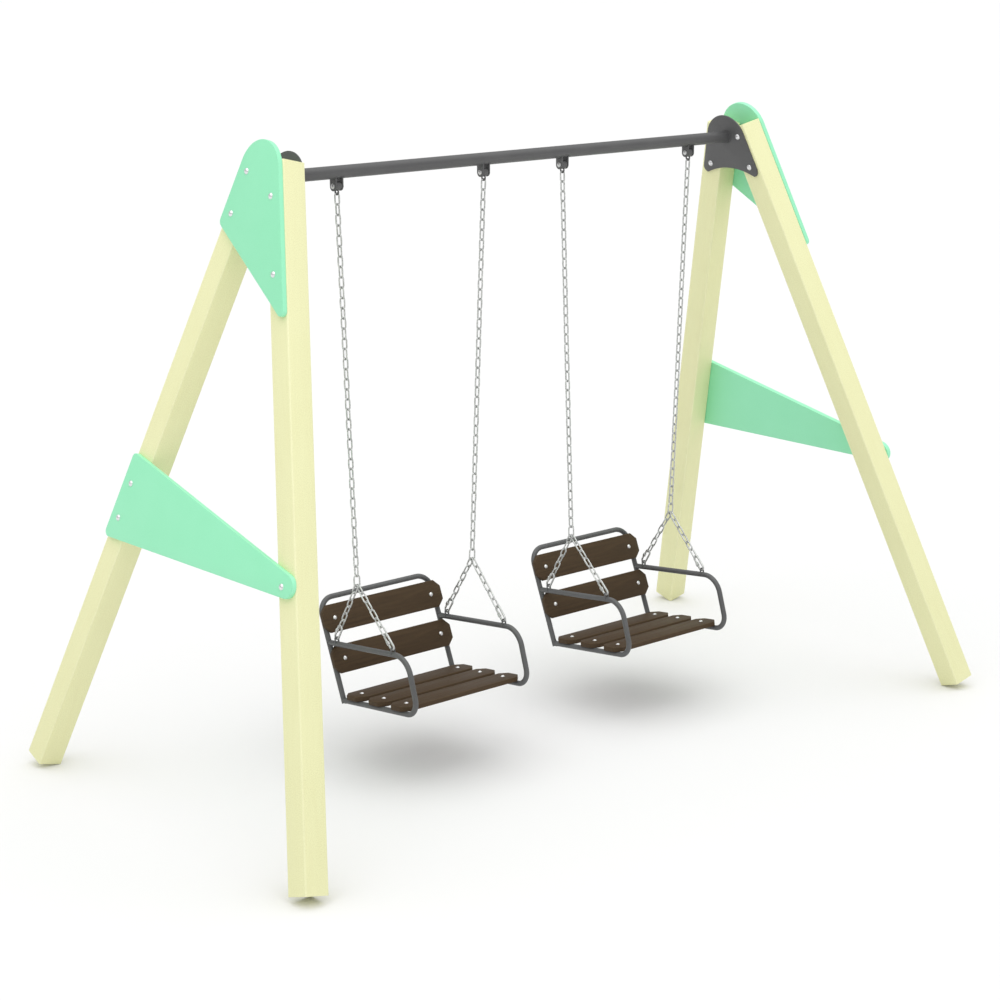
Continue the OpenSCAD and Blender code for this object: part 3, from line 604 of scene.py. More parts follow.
def rounded_outline(corners, segments=10):
    """Points of a convex outline from corners (y, z, radius), each rounded by an arc."""
    points = []
    count = len(corners)
    for i, (y, z, r) in enumerate(corners):
        here = Vector((y, z))
        before = (Vector(corners[i - 1][:2]) - here).normalized()
        after = (Vector(corners[(i + 1) % count][:2]) - here).normalized()
        half = before.angle(after) / 2
        centre = here + (before + after).normalized() * (r / sin(half))
        start = here + before * (r / tan(half)) - centre
        turn = pi - 2 * half
        steps = max(2, round(segments * turn / (pi / 2)))
        for k in range(steps + 1):
            a = turn * k / steps
            points.append(
                centre + Vector((start.x * cos(a) - start.y * sin(a), start.x * sin(a) + start.y * cos(a)))
            )
    return points


def verts_of(made):
    return [g for g in made if isinstance(g, bmesh.types.BMVert)]


def rim_of(made):
    """Open edges among what an operator made."""
    return [g for g in made if isinstance(g, bmesh.types.BMEdge) and len(g.link_faces) == 1]


def soften(bm, edges, offset, steps, clamp=False):
    """Rounds edges by an even offset."""
    bmesh.ops.bevel(
        bm, geom=edges, offset=offset, offset_type="OFFSET", affect="EDGES", segments=steps, profile=0.5,
        material=-1, clamp_overlap=clamp,
    )


def sheet_part(points, thick, edge, steps=2):
    """Flat part in the YZ plane from x = 0 to thick, with its rims rounded by edge."""
    bm = bmesh.new()
    face = bm.faces.new([bm.verts.new((0, p.x, p.y)) for p in points])
    rim = bmesh.ops.extrude_face_region(bm, geom=[face])
    top = [v for v in rim["geom"] if isinstance(v, bmesh.types.BMVert)]
    bmesh.ops.translate(bm, vec=(thick, 0, 0), verts=top)
    bmesh.ops.recalc_face_normals(bm, faces=bm.faces)
    rims = [e for e in bm.edges if len({round(v.co.x, 6) for v in e.verts}) == 1]
    soften(bm, rims, edge, steps, clamp=True)
    return bm


def ring(bm, radius, sides, matrix):
    """Circle of edges, without a face, placed by a matrix."""
    made = bmesh.ops.create_circle(bm, cap_ends=False, radius=radius, segments=sides, matrix=matrix)
    return list({e for v in made["verts"] for e in v.link_edges})


def push(bm, edges, vec):
    """Extrudes a ring of edges by a vector, and returns the new ring."""
    made = bmesh.ops.extrude_edge_only(bm, edges=edges)["geom"]
    bmesh.ops.translate(bm, vec=vec, verts=verts_of(made))
    return rim_of(made)


def swing_ring(bm, edges, centre, axis, angle, steps):
    """Spins a ring of edges about an axis, and returns the last ring."""
    made = bmesh.ops.spin(
        bm, geom=edges, cent=centre, axis=axis, dvec=(0, 0, 0), angle=angle, steps=steps,
        use_duplicate=False,
    )
    return [g for g in made["geom_last"] if isinstance(g, bmesh.types.BMEdge)]


def cap(bm, edges):
    bmesh.ops.contextual_create(bm, geom=edges)


def bent_tube(path, radius, sides=28, bore=0.0):
    """Round bar along (y, z, bend radius) points of the YZ plane; a bore recesses its ends."""
    bm = bmesh.new()
    turns = [0.0]
    for i in range(1, len(path) - 1):
        a = atan2(path[i][1] - path[i - 1][1], path[i][0] - path[i - 1][0])
        b = atan2(path[i + 1][1] - path[i][1], path[i + 1][0] - path[i][0])
        turns.append((b - a + pi) % (2 * pi) - pi)
    turns.append(0.0)
    leads = [p[2] * tan(abs(t) / 2) for p, t in zip(path, turns)]
    heading = atan2(path[1][1] - path[0][1], path[1][0] - path[0][0])
    at = Vector((0, path[0][0], path[0][1]))
    upright = rotate(heading - pi / 2, "X")
    edges = ring(bm, radius, sides, Matrix.Translation(at) @ upright)
    first = edges
    for i in range(len(path) - 1):
        way = Vector((0, cos(heading), sin(heading)))
        length = hypot(path[i + 1][0] - path[i][0], path[i + 1][1] - path[i][1]) - leads[i] - leads[i + 1]
        edges = push(bm, edges, way * length)
        at += way * length
        if i + 1 < len(path) - 1:
            turn, r = turns[i + 1], path[i + 1][2]
            left = Vector((0, -sin(heading), cos(heading)))
            centre = at + left * (r if turn > 0 else -r)
            steps = max(4, round(abs(turn) / radians(6)))
            edges = swing_ring(bm, edges, centre, (1, 0, 0), turn, steps)
            at = centre + Matrix.Rotation(turn, 3, "X") @ (at - centre)
            heading += turn
    for end, back in ((first, 1), (edges, -1)):
        if bore:
            inner = bmesh.ops.extrude_edge_only(bm, edges=end)["geom"]
            verts = verts_of(inner)
            middle = sum((v.co for v in verts), Vector()) / len(verts)
            bmesh.ops.scale(bm, vec=(bore / radius,) * 3, space=Matrix.Translation(-middle), verts=verts)
            lip = rim_of(inner)
            if back < 0:
                way = Vector((0, cos(heading), sin(heading)))
            else:
                way = Vector((0, path[1][0] - path[0][0], path[1][1] - path[0][1])).normalized()
            end = push(bm, lip, way * (back * 2 * radius))
        cap(bm, end)
    return bm


def link_mesh(inside, in_w, wire, sides=8, bend_steps=5, weld=1.14):
    """Chain link in the XZ plane with its inside top at z = 0, and a slight weld bulge on one side."""
    bm = bmesh.new()
    bend = (in_w + wire) / 2
    straight = inside - in_w
    low = -inside / 2 - straight / 2
    edges = ring(bm, wire / 2, sides, shift(bend, 0, low))
    edges = push(bm, edges, (0, 0, straight / 2))
    bulge = list({v for e in edges for v in e.verts})
    about = shift(-bend, 0, -low - straight / 2)
    bmesh.ops.scale(bm, vec=(weld, weld, 1), space=about, verts=bulge)
    made = bmesh.ops.extrude_edge_only(bm, edges=edges)["geom"]
    top = verts_of(made)
    bmesh.ops.scale(bm, vec=(1 / weld, 1 / weld, 1), space=about, verts=top)
    bmesh.ops.translate(bm, vec=(0, 0, straight / 2), verts=top)
    edges = rim_of(made)
    edges = swing_ring(bm, edges, (0, 0, low + straight), (0, -1, 0), pi, bend_steps)
    edges = push(bm, edges, (0, 0, -straight))
    swing_ring(bm, edges, (0, 0, low), (0, -1, 0), pi, bend_steps)
    bmesh.ops.remove_doubles(bm, verts=bm.verts, dist=0.05 * MM)
    return bm


def split_mesh(sides=12):
    """Last link of a chain, with a straight lower bar."""
    bm = bmesh.new()
    bend = (SPLIT_IN_W + WIRE) / 2
    top = -SPLIT_IN_W / 2
    low = SPLIT_CORNER - LINK_IN - WIRE / 2
    half_bar = bend - SPLIT_CORNER
    edges = ring(bm, WIRE / 2, sides, shift(bend, 0, low))
    edges = push(bm, edges, (0, 0, top - low))
    edges = swing_ring(bm, edges, (0, 0, top), (0, -1, 0), pi, 10)
    edges = push(bm, edges, (0, 0, low - top))
    edges = swing_ring(bm, edges, (-half_bar, 0, low), (0, -1, 0), pi / 2, 5)
    edges = push(bm, edges, (2 * half_bar, 0, 0))
    swing_ring(bm, edges, (half_bar, 0, low), (0, -1, 0), pi / 2, 5)
    bmesh.ops.remove_doubles(bm, verts=bm.verts, dist=0.05 * MM)
    return bm


def dome_screw(head_d, head_h, shank_d, grip, sides=28):
    """Smooth domed head on z = 0, and a shank down to a blunt tip."""
    bm = bmesh.new()
    ball = (head_d * head_d / 4 + head_h * head_h) / (2 * head_h)
    crown = head_d * 0.05
    edges = ring(bm, shank_d / 2, sides, shift(0, 0, -grip + shank_d * 0.3))
    tip = push(bm, edges, (0, 0, -shank_d * 0.3))
    tip_verts = list({v for e in tip for v in e.verts})
    bmesh.ops.scale(bm, vec=(0.35, 0.35, 1), verts=tip_verts)
    cap(bm, tip)
    edges = push(bm, edges, (0, 0, grip - shank_d * 0.3))
    steps = 7
    skirt = head_h * 0.12
    rings = [(head_d / 2, 0.0), (head_d / 2, skirt)]
    for k in range(1, steps + 1):
        r = head_d / 2 + (crown * 1.18 - head_d / 2) * k / steps
        rings.append((r, max(skirt, sqrt(ball * ball - r * r) - ball + head_h)))
    radius, level = shank_d / 2, 0.0
    for r, z in rings:
        edges = push(bm, edges, (0, 0, z - level))
        verts = list({v for e in edges for v in e.verts})
        bmesh.ops.scale(bm, vec=(r / radius, r / radius, 1), verts=verts)
        radius, level = r, z
    cap(bm, edges)
    return bm


def hex_nut(across, height, bore_d):
    """Hexagon nut standing on z = 0, its corners chamfered by a turned cone."""
    bm = bmesh.new()
    outer = ring(bm, across / 2 / cos(pi / 6), 6, Matrix())
    upper = push(bm, outer, (0, 0, height))
    for loop, z in ((outer, 0.0), (upper, height)):
        hole = ring(bm, bore_d / 2, 24, shift(0, 0, z))
        bmesh.ops.bridge_loops(bm, edges=loop + hole)
        if z == 0.0:
            low_hole = hole
    bmesh.ops.bridge_loops(bm, edges=low_hole + hole)
    outer = [e for e in bm.edges if all(v.co.xy.length > across * 0.55 for v in e.verts)]
    corners = [e for e in outer if abs(e.verts[0].co.z - e.verts[1].co.z) < MM * 0.01]
    soften(bm, corners, height * 0.09, 2)
    return bm


def turned_ring(inner, outer, width, edge, sides=40):
    """Ring about z from z = 0 to width, with rounded outer rims."""
    bm = bmesh.new()
    corners = (
        (inner, 0.0), (outer - edge, 0.0), (outer, edge), (outer, width - edge), (outer - edge, width),
        (inner, width),
    )
    verts = [bm.verts.new((r, 0, z)) for r, z in corners]
    edges = [bm.edges.new((verts[i], verts[(i + 1) % len(verts)])) for i in range(len(verts))]
    bmesh.ops.spin(
        bm, geom=verts + edges, cent=(0, 0, 0), axis=(0, 0, 1), angle=2 * pi, steps=sides, use_merge=True
    )
    return bm


def weld_bead(points, radius=2.0 * MM):
    """Row of overlapping weld ripples along a list of points."""
    bm = bmesh.new()
    for p in points:
        size = radius * random.uniform(0.92, 1.08)
        bmesh.ops.create_icosphere(bm, subdivisions=1, radius=size, matrix=Matrix.Translation(p))
    return bm


def ring_points(radius, matrix, step=2.6 * MM):
    """Points round a circle, about one weld ripple apart."""
    count = max(8, round(2 * pi * radius / step))
    points = []
    for k in range(count):
        a = 2 * pi * k / count
        points.append(matrix @ Vector((radius * cos(a), radius * sin(a), 0.0)))
    return points


# ---------------------------------------------------------------- A-frames


def make_post(side, end):
    bm = bmesh.new()
    bmesh.ops.create_cube(
        bm, size=1.0, matrix=shift(0, 0, POST_LEN / 2) @ Matrix.Diagonal((POST_W, POST_W, POST_LEN, 1))
    )
    long_edges = [e for e in bm.edges if abs(e.verts[0].co.z - e.verts[1].co.z) > POST_LEN / 2]
    soften(bm, long_edges, POST_EDGE, 4)
    ends = [e for e in bm.edges if abs(e.verts[0].co.z - e.verts[1].co.z) < MM]
    soften(bm, ends, POST_END_EDGE, 2)
    bm.transform(post_place(side, end))
    return piece(
        f"{side}_{end}_post", bm, "frame", post_glaze(side, end), [f"post_{side}_{end}"]
    )


def make_gusset(side, material):
    apex = (0.0, APEX_Z + POST_W / 2 / sin(SPLAY))
    arc_r = (APEX_Z - GUSSET_ARC_Z) * sin(SPLAY) + POST_W / 2
    back = post_point(1, POST_LEN - GUSSET_SHORT, POST_W / 2)
    front = post_point(-1, POST_LEN - GUSSET_LONG, POST_W / 2)
    points = rounded_outline([(*apex, arc_r), (*front, GUSSET_TIP_R), (*back, GUSSET_CORNER_R)], 14)
    bm = sheet_part(points, PANEL_T, PANEL_EDGE, 3)
    bm.transform(frame_place(side) @ shift(POST_W / 2, 0, 0))
    return piece(f"{side}_gusset", bm, "frame", material, [f"top_gusset_{side}"])


def make_brace(side, material):
    low = post_point(1, BRACE_LOW, POST_W / 2)
    high = post_point(1, BRACE_HIGH, POST_W / 2)
    tip = post_point(-1, BRACE_END, BRACE_END_OUT)

    # The round end lies between the two long edges, so its sharp corner is where they would meet.
    def touching(p, way):
        reach = Vector((tip[0] - p[0], tip[1] - p[1]))
        a = atan2(reach.y, reach.x) + way * asin(BRACE_END_R / reach.length)
        return Vector((cos(a), sin(a)))

    a, b = touching(low, 1), touching(high, -1)
    p, q = Vector(low), Vector(high)
    t = (q - p).cross(b) / a.cross(b)
    meet = p + a * t
    points = rounded_outline([(*meet, BRACE_END_R), (*low, BRACE_CORNER_R), (*high, BRACE_CORNER_R)], 14)
    bm = sheet_part(points, PANEL_T, PANEL_EDGE, 3)
    bm.transform(frame_place(side) @ shift(POST_W / 2, 0, 0))
    return piece(f"{side}_brace", bm, "frame", material, [f"lower_brace_{side}"])


def make_flange(side):
    """Steel end plate of the crossbar, with a round top and an arched lower edge."""
    reach = POST_W / 2 - FLANGE_INSET
    arc_r = FLANGE_ARC_DROP * sin(SPLAY) + reach
    low = APEX_Z - FLANGE_LOW_DROP
    half = FLANGE_LOW_DROP * tan(SPLAY) + reach / cos(SPLAY)
    top = APEX_Z - FLANGE_ARC_DROP + arc_r / sin(SPLAY)
    points = rounded_outline(
        [(0.0, top, arc_r), (-half, low, FLANGE_CORNER), (half, low, FLANGE_CORNER)], 14
    )
    reach = sqrt(FLANGE_ARCH_R ** 2 - (FLANGE_ARCH_R - FLANGE_ARCH) ** 2)
    points = [p for p in points if p.y > low + 0.1 * MM or abs(p.x) > reach]
    last = max(i for i, p in enumerate(points) if p.x < 0 and p.y < low + FLANGE_CORNER)
    arch = [0.93 * reach * (k / 7 - 1) for k in range(15)]
    rise = [Vector((y, low + FLANGE_ARCH - FLANGE_ARCH_R + sqrt(FLANGE_ARCH_R ** 2 - y * y))) for y in arch]
    points = points[:last + 1] + rise + points[last + 1:]
    bm = sheet_part(points, FLANGE_T, FLANGE_EDGE, 2)
    bm.transform(frame_place(side) @ shift(-POST_W / 2 - FLANGE_T, 0, 0))
    piece(f"{side}_end_plate", bm, "frame", STEEL_DARK, [f"flange_plate_{side}"])


def outer_spot(side, end, along, lift, across=0.0):
    """Place of a screw on a post's outer face, with z outwards."""
    return post_place(side, end) @ shift(POST_W / 2 + lift, ENDS[end] * across, along) @ rotate(pi / 2, "Y")


def make_screws(name, node, spots, grip):
    bm = bmesh.new()
    for spot in spots:
        turn = rotate(random.uniform(0, pi), "Z")
        join_in(bm, dome_screw(SCREW_HEAD_D, SCREW_HEAD_H, SCREW_D, grip), spot @ turn)
    return piece(name, bm, "frame", SCREW_ZINC, [node], smooth=50)


def make_frames():
    for side in SIDES:
        green = panel_green(side)
        for end in ENDS:
            make_post(side, end)
        make_gusset(side, green)
        make_brace(side, green)
        make_flange(side)
    top = [outer_spot(s, "back", POST_LEN - a, PANEL_T) for s in SIDES for a in GUSSET_BACK_SCREWS]
    top += [outer_spot(s, "front", POST_LEN - a, PANEL_T) for s in SIDES for a in GUSSET_FRONT_SCREWS]
    make_screws("gusset_coach_screws", "gusset_screws", top, SCREW_GRIP + PANEL_T)
    low = [outer_spot(s, "back", a, PANEL_T) for s in SIDES for a in BRACE_BACK_SCREWS]
    low += [outer_spot(s, "front", BRACE_END, PANEL_T, BRACE_END_OUT - BRACE_END_SCREW) for s in SIDES]
    make_screws("brace_coach_screws", "brace_screws", low, SCREW_GRIP + PANEL_T)
    inner = [
        post_place(s, e) @ shift(-POST_W / 2 - FLANGE_T, 0, POST_LEN - a) @ rotate(-pi / 2, "Y")
        for s in SIDES for e in ENDS for a in FLANGE_SCREWS
    ]
    make_screws("flange_coach_screws", "flange_screws", inner, SCREW_GRIP + FLANGE_T)


# ---------------------------------------------------------------- crossbar and hangers


def make_crossbar():
    low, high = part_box("crossbar")
    bar_z = (low.z + high.z) / 2
    bm = bmesh.new()
    across = shift(low.x, 0, bar_z) @ rotate(pi / 2, "Y")
    edges = ring(bm, BAR_D / 2, 72, across)
    first = edges
    edges = push(bm, edges, (high.x - low.x, 0, 0))
    cap(bm, first)
    cap(bm, edges)
    for side in SIDES:
        place = frame_place(side)
        out = (place.to_3x3() @ Vector((1, 0, 0))).normalized()
        at = place @ Vector((-POST_W / 2 - FLANGE_T, 0, 0))
        whole = list(bm.verts) + list(bm.edges) + list(bm.faces)
        cut = bmesh.ops.bisect_plane(bm, geom=whole, plane_co=at, plane_no=out, clear_outer=True)
        cap(bm, [g for g in cut["geom_cut"] if isinstance(g, bmesh.types.BMEdge)])
    piece("crossbar_tube", bm, "frame", STEEL_DARK, ["crossbar"])
    for side, s in SIDES.items():
        place = frame_place(side)
        at = place @ Vector((-POST_W / 2 - FLANGE_T, 0, 0))
        out = (place.to_3x3() @ Vector((1, 0, 0))).normalized()
        points = []
        for p in ring_points(BAR_D / 2 + 1 * MM, shift(0, 0, bar_z) @ rotate(pi / 2, "Y"), 3.2 * MM):
            x = at.x - (out.y * (p.y - at.y) + out.z * (p.z - at.z)) / out.x
            points.append(Vector((x - s * 1.2 * MM, p.y, p.z)))
        piece(f"{side}_crossbar_weld", weld_bead(points, 2.8 * MM), "frame", STEEL_DARK)
    return bar_z


def make_hangers(side, bar_z):
    """Lugs and welds of one swing's two hangers, and the housings that swing on them."""
    pivot = JOINTS[f"{side}_swing"]
    lugs, welds, housings = bmesh.new(), bmesh.new(), bmesh.new()
    for hand in (-1, 1):
        x = pivot.x + hand * HANGER_X
        for face in (-1, 1):
            half = LUG_W / 2
            reach = bar_z - pivot.z - sqrt((BAR_D / 2) ** 2 - half ** 2) + 1.5 * MM
            top_r, low_r = 1 * MM, half * 0.999
            corners = [
                (-half, reach, top_r), (-half, -half, low_r), (half, -half, low_r), (half, reach, top_r)
            ]
            points = rounded_outline(corners, 14)
            lug = sheet_part(points, LUG_T, LUG_EDGE)
            left = x + face * (LUG_GAP + LUG_T) / 2 - LUG_T / 2
            join_in(lugs, lug, shift(left, 0, pivot.z))
            for y in (-1, 1):
                foot_z = bar_z - sqrt((BAR_D / 2) ** 2 - (half * 0.97) ** 2)
                row = [
                    Vector((left + LUG_T / 2 + (k / 3 - 0.5) * LUG_T, y * half, foot_z + 0.5 * MM))
                    for k in range(4)
                ]
                arc = []
                for k in range(11):
                    yy = y * half * 0.97 * k / 10
                    face_x = left + (LUG_T + 1 * MM if face > 0 else -1 * MM)
                    under = bar_z - sqrt((BAR_D / 2) ** 2 - yy * yy)
                    arc.append(Vector((face_x, yy, under - 0.4 * MM)))
                join_in(welds, weld_bead(row + arc, 1.9 * MM))
        body = turned_ring(PIVOT_D * 0.8, HOUSING_D / 2, HOUSING_L, 1.2 * MM, 56)
        join_in(housings, body, shift(x - HOUSING_L / 2, 0, pivot.z) @ rotate(pi / 2, "Y"))
        eye = bmesh.new()
        edges = ring(eye, EYE_WIRE / 2, 20, shift(0, EYE_R, 0))
        swing_ring(eye, edges, (0, 0, 0), (1, 0, 0), 2 * pi, 48)
        bmesh.ops.remove_doubles(eye, verts=eye.verts, dist=0.02 * MM)
        join_in(housings, eye, shift(x, 0, pivot.z - EYE_DROP))
        neck = ring_points(4.2 * MM, shift(x, 0, pivot.z - HOUSING_D / 2 + 0.6 * MM), 2.2 * MM)
        spread = [Vector((p.x, 1.9 * (p.y), p.z)) for p in neck]
        join_in(housings, weld_bead(spread, 1.6 * MM))
    piece(f"{side}_hanger_plates", lugs, "frame", STEEL_DARK, [f"hanger_lugs_{side}"])
    piece(f"{side}_hanger_welds", welds, "frame", STEEL_DARK)
    piece(
        f"{side}_bearing_housings", housings, f"{side}_chains", STEEL_DARK,
        [f"{side}_housings"],
    )


def make_pivot_bolts():
    reach = LUG_GAP / 2 + LUG_T
    length = 2 * reach + PIVOT_D * 0.8 + 2 * MM
    bolts, nuts = bmesh.new(), bmesh.new()
    for side in SIDES:
        pivot = JOINTS[f"{side}_swing"]
        for hand in (-1, 1):
            at = shift(pivot.x + hand * HANGER_X, 0, pivot.z)
            turn = rotate(random.uniform(0, pi), "Z")
            head = dome_screw(PIVOT_HEAD_D, PIVOT_HEAD_D * 0.3, PIVOT_D, length)
            join_in(bolts, head, at @ shift(-reach, 0, 0) @ rotate(-pi / 2, "Y") @ turn)
            nut = hex_nut(PIVOT_D * 1.6, PIVOT_D * 0.8, PIVOT_D * 1.02)
            join_in(nuts, nut, at @ shift(reach, 0, 0) @ rotate(pi / 2, "Y") @ turn)
    piece("pivot_bolt_set", bolts, "frame", PIVOT_ZINC, ["pivot_bolts"], smooth=50)
    piece("pivot_nut_set", nuts, "frame", PIVOT_ZINC, ["pivot_nuts"], smooth=30)


# ---------------------------------------------------------------- chains


def add_links(bm, place, count, across):
    """Links down from z = 0 of a place; the first lies across y when across is 1."""
    for i in range(count):
        turn = rotate(pi / 2 * ((i + across) % 2) + pi * (i // 2 % 2), "Z")
        join_in(
            bm, link_mesh(LINK_IN, LINK_IN_W, WIRE),
            place @ shift(0, 0, LINK_PLAY / 2 - i * LINK_PITCH) @ turn,
        )


def make_chain(side, hand):
    pivot, split = JOINTS[f"{side}_swing"], JOINTS[f"{side}_seat_rock"]
    top = Vector((pivot.x + hand * HANGER_X, 0, pivot.z - EYE_DROP - EYE_R + EYE_WIRE / 2))
    run = CHAIN_LINKS * LINK_PITCH + LINK_PLAY / 2 + WIRE / 2
    lean = hand * (pi / 2 - asin((top.z - split.z) / run))
    place = Matrix.Translation(top) @ rotate(lean, "Y")
    bm = bmesh.new()
    add_links(bm, place, CHAIN_LINKS - 1, 0)
    join_in(bm, split_mesh(), place @ shift(0, 0, LINK_PLAY / 2 - (CHAIN_LINKS - 1) * LINK_PITCH))
    which = "outer" if hand == SIDES[side] else "inner"
    piece(
        f"{side}_{which}_hanging_chain", bm, f"{side}_chains", CHAIN_ZINC,
        [f"{side}_chain_{which}"], smooth=80,
    )
    return top.x - pivot.x - run * sin(lean)


def branch_places(side, split_x):
    """For each hand and end: a branch's place, with -z along it, and its length."""
    split = JOINTS[f"{side}_seat_rock"]
    seat = seat_place(side)
    places = {}
    for hand in (-1, 1):
        for end, (name, way) in enumerate((("front", 1), ("rear", -1))):
            start = Vector((split.x + hand * split_x + way * (WIRE / 2 + BRANCH_GAP), 0, split.z))
            staple = seat @ Vector((hand * SIDE_X, -STAPLE_AT[end], ARM_H + TUBE_R + STAPLE_H))
            v = staple - start
            turn = rotate(atan2(-v.x, -v.z), "Y") @ rotate(asin(v.y / v.length), "X")
            places[hand, name] = (Matrix.Translation(start) @ turn, v.length)
    return places


def make_branches(side, split_x):
    places = branch_places(side, split_x)
    for name in ("front", "rear"):
        bm = bmesh.new()
        for hand in (-1, 1):
            place, _ = places[hand, name]
            add_links(bm, place @ shift(0, 0, WIRE / 2 + ROCK_FIT), BRANCH_LINKS, 1)
        piece(
            f"{side}_{name}_branch_chains", bm, f"{side}_seat", CHAIN_ZINC,
            [f"{side}_{name}_branches"], smooth=80,
        )
    bm = bmesh.new()
    top = WIRE / 2 + ROCK_FIT + LINK_PLAY / 2 - BRANCH_LINKS * LINK_PITCH
    for place, length in places.values():
        inside = length + STAPLE_WIRE / 2 + LINK_PLAY + top
        at = place @ shift(0, 0, top) @ rotate(pi / 2, "Z")
        join_in(bm, link_mesh(inside, QUICK_IN_W, QUICK_WIRE, 16, 12, 1.0), at)
        sleeve = hex_nut(QUICK_WIRE * 1.52, QUICK_WIRE * 2, QUICK_WIRE * 1.02)
        join_in(bm, sleeve, at @ shift((QUICK_IN_W + QUICK_WIRE) / 2, 0, -inside / 2 - QUICK_WIRE))
    piece(
        f"{side}_quick_link_set", bm, f"{side}_seat", CHAIN_ZINC, [f"{side}_quick_links"],
        smooth=50,
    )


# ---------------------------------------------------------------- seats


def make_side_loop(side, hand):
    place = seat_place(side) @ shift(hand * SIDE_X, 0, 0)
    path = [
        (ARM_H * tan(BACK_LEAN), ARM_H, 0), (-ARM_LEN, ARM_H, ARM_BEND), (-LOOP_LEN, 0, RAIL_BEND),
        (0, 0, 0),
    ]
    bm = bent_tube(path, TUBE_R, 32)
    bm.transform(place)
    which = "outer" if hand == SIDES[side] else "inner"
    piece(
        f"{side}_{which}_side_loop", bm, f"{side}_seat", STEEL_SEAT, [f"{side}_loop_{which}"]
    )
    beads = bmesh.new()
    for height in (ARM_H, 0.0):
        axis_y = height * tan(BACK_LEAN)
        points = []
        for k in range(26):
            a = 2 * pi * k / 26
            x, z = TUBE_R * 1.03 * cos(a), TUBE_R * 1.03 * sin(a)
            dip = sqrt(max(0.0, TUBE_R ** 2 - min(abs(x), TUBE_R) ** 2)) / cos(BACK_LEAN)
            points.append(Vector((x, axis_y + z * tan(BACK_LEAN) - dip - 0.4 * MM, height + z)))
        join_in(beads, weld_bead(points, 1.7 * MM))
    beads.transform(place)
    piece(f"{side}_{which}_loop_welds", beads, f"{side}_seat", STEEL_SEAT)


def make_back_hoop(side):
    place = back_place(side) @ rotate(-pi / 2, "Z")
    path = [
        (-SIDE_X, -UPRIGHT_TAIL, 0), (-SIDE_X, BACK_LEN, BACK_BEND), (SIDE_X, BACK_LEN, BACK_BEND),
        (SIDE_X, -UPRIGHT_TAIL, 0),
    ]
    bm = bent_tube(path, TUBE_R, 32, bore=TUBE_R - TUBE_WALL)
    bm.transform(place)
    piece(f"{side}_backrest_hoop", bm, f"{side}_seat", STEEL_SEAT, [f"{side}_back_hoop"])


def make_staples(side):
    half = (STAPLE_IN_W + STAPLE_WIRE) / 2
    bend = STAPLE_WIRE * 0.75
    bars, beads = bmesh.new(), bmesh.new()
    for hand in (-1, 1):
        for at in STAPLE_AT:
            place = seat_place(side) @ shift(hand * SIDE_X, -at, ARM_H) @ rotate(-pi / 2, "Z")
            path = [
                (-half, TUBE_R * 0.3, 0), (-half, TUBE_R + STAPLE_H, bend), (half, TUBE_R + STAPLE_H, bend),
                (half, TUBE_R * 0.3, 0),
            ]
            join_in(bars, bent_tube(path, STAPLE_WIRE / 2, 16), place)
            for leg in (-half, half):
                foot_z = sqrt(TUBE_R ** 2 - half ** 2)
                slope = -half / foot_z if leg > 0 else half / foot_z
                points = []
                for k in range(12):
                    a = 2 * pi * k / 12
                    x, y = STAPLE_WIRE / 2 * 1.1 * cos(a), leg + STAPLE_WIRE / 2 * 1.1 * sin(a)
                    points.append(Vector((x, y, max(foot_z + slope * (y - leg), TUBE_R * 0.3))))
                join_in(beads, weld_bead(points, 1.3 * MM), place)
    piece(f"{side}_chain_staples", bars, f"{side}_seat", STEEL_SEAT, [f"{side}_staples"])
    piece(f"{side}_staple_welds", beads, f"{side}_seat", STEEL_SEAT)


def slat_spots(side):
    """Places of the slats, with x along them and z out of their face from the tubes' middle plane."""
    seat, back = seat_place(side), back_place(side)
    spots = {f"seat_slat_{n}": seat @ shift(0, -at, 0) for n, at in SEAT_SLATS.items()}
    for n, at in BACK_SLATS.items():
        spots[f"back_slat_{n}"] = back @ shift(0, 0, at) @ rotate(pi / 2, "X")
    return spots


def make_slat(side, name, place):
    x, y, c = SLAT_L / 2, SLAT_W / 2, SLAT_CUT
    corners = [
        (x, c - y), (x, y - c), (x - c, y), (c - x, y), (-x, y - c), (-x, c - y), (c - x, -y), (x - c, -y)
    ]
    bm = sheet_part(rounded_outline([(*p, SLAT_CORNER_R) for p in corners], 8), SLAT_T, SLAT_EDGE, 3)
    lay_flat = Matrix(((0, 1, 0, 0), (0, 0, 1, 0), (1, 0, 0, 0), (0, 0, 0, 1)))
    bm.transform(place @ shift(0, 0, TUBE_R) @ lay_flat)
    material = slat_glaze(f"slat_glaze_{side}_{name}", place @ shift(0, 0, TUBE_R + SLAT_T / 2))
    piece(
        f"{side}_{name.replace('slat', 'board')}", bm, f"{side}_seat", material, [f"{side}_{name}"]
    )


def make_slats(side):
    bolts, nuts = bmesh.new(), bmesh.new()
    nut_h = SLAT_BOLT_D * 0.8
    low = TUBE_R - TAB_T
    for name, place in slat_spots(side).items():
        make_slat(side, name, place)
        for hand in (-1, 1):
            at = place @ shift(hand * SLAT_BOLT_X, 0, 0)
            turn = rotate(random.uniform(0, pi), "Z")
            top = TUBE_R + SLAT_T
            screw = dome_screw(
                SLAT_HEAD_D, SLAT_HEAD_D * 0.28, SLAT_BOLT_D, top - low + nut_h + 3 * MM, sides=24
            )
            join_in(bolts, screw, at @ shift(0, 0, top) @ turn)
            join_in(
                nuts, hex_nut(SLAT_BOLT_D * 1.6, nut_h, SLAT_BOLT_D * 1.02),
                at @ shift(0, 0, low - nut_h) @ turn,
            )
    piece(
        f"{side}_slat_bolt_set", bolts, f"{side}_seat", SCREW_ZINC, [f"{side}_slat_bolts"],
        smooth=50,
    )
    piece(
        f"{side}_slat_nut_set", nuts, f"{side}_seat", SCREW_ZINC, [f"{side}_slat_nuts"],
        smooth=30,
    )


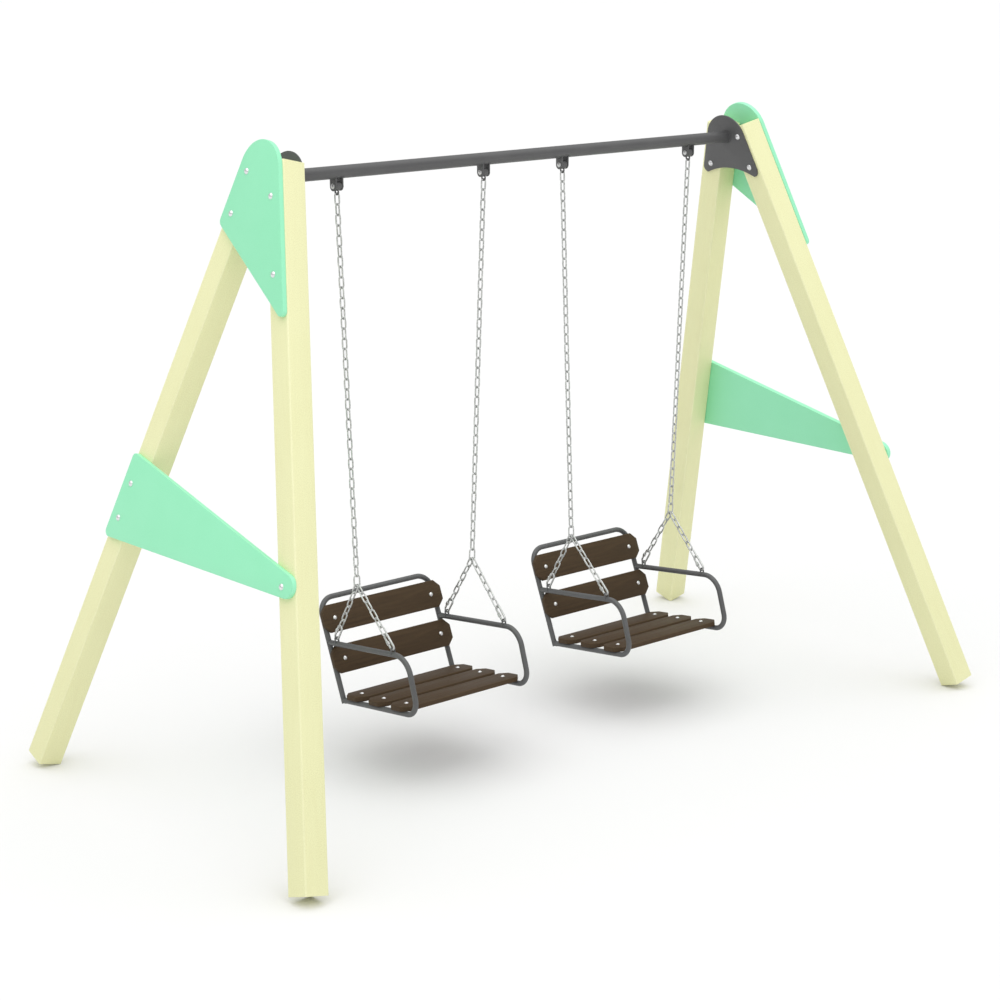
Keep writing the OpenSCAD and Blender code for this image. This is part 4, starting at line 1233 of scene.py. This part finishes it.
# ---------------------------------------------------------------- assembly


def keep_cad(material, *nodes):
    """CAD nodes whose shape is already right get a finish of their own."""
    for n in nodes:
        mesh = frame["nodes"][n].data
        mesh.materials.clear()
        mesh.materials.append(material)


make_frames()
bar_height = make_crossbar()
for swing in SIDES:
    make_hangers(swing, bar_height)
    split_offset = make_chain(swing, 1)
    make_chain(swing, -1)
    make_branches(swing, split_offset)
    for which_hand in (-1, 1):
        make_side_loop(swing, which_hand)
    make_back_hoop(swing)
    make_staples(swing)
    make_slats(swing)
    keep_cad(BRONZE, f"{swing}_bushes")
    keep_cad(STEEL_SEAT, f"{swing}_slat_tabs")
make_pivot_bolts()
keep_cad(NYLON, "pivot_washers")

# ---------------------------------------------------------------- floor, light and camera


def studio_floor():
    bm = bmesh.new()
    bmesh.ops.create_grid(bm, x_segments=2, y_segments=2, size=250.0)
    mesh = bpy.data.meshes.new("floor")
    bm.to_mesh(mesh)
    bm.free()
    floor = bpy.data.objects.new("floor", mesh)
    bpy.context.scene.collection.objects.link(floor)
    mat, _, shader, _ = finish("floor_pale", roughness=0.9, specular=0.1)
    shader.inputs["Base Color"].default_value = (0.81, 0.81, 0.81, 1)
    mesh.materials.append(mat)


def soft_sun(name, towards, spread, power):
    """Broad even light shining along a direction."""
    data = bpy.data.lights.new(name, "SUN")
    data.angle = radians(spread)
    data.energy = power
    lamp = bpy.data.objects.new(name, data)
    lamp.location = (0, 0, 6)
    lamp.rotation_euler = Vector(towards).to_track_quat("-Z", "Y").to_euler()
    bpy.context.scene.collection.objects.link(lamp)


def studio():
    studio_floor()
    world = bpy.data.worlds.new("studio")
    world.use_nodes = True
    sky = world.node_tree.nodes["Background"]
    sky.inputs["Color"].default_value = (1, 1, 1, 1)
    sky.inputs["Strength"].default_value = 0.56
    bpy.context.scene.world = world
    soft_sun("overhead", (0.1, 0.14, -1.0), 100, 2.25)
    bpy.context.scene.view_settings.view_transform = "Standard"


def camera():
    data = bpy.data.cameras.new("camera")
    data.sensor_width = 36
    data.lens = 83.59
    eye = bpy.data.objects.new("camera", data)
    eye.location = (-5.9918, -6.8083, 3.2758)
    eye.rotation_euler = (radians(75.619), 0, radians(-40.773))
    bpy.context.scene.collection.objects.link(eye)
    bpy.context.scene.camera = eye


studio()
camera()
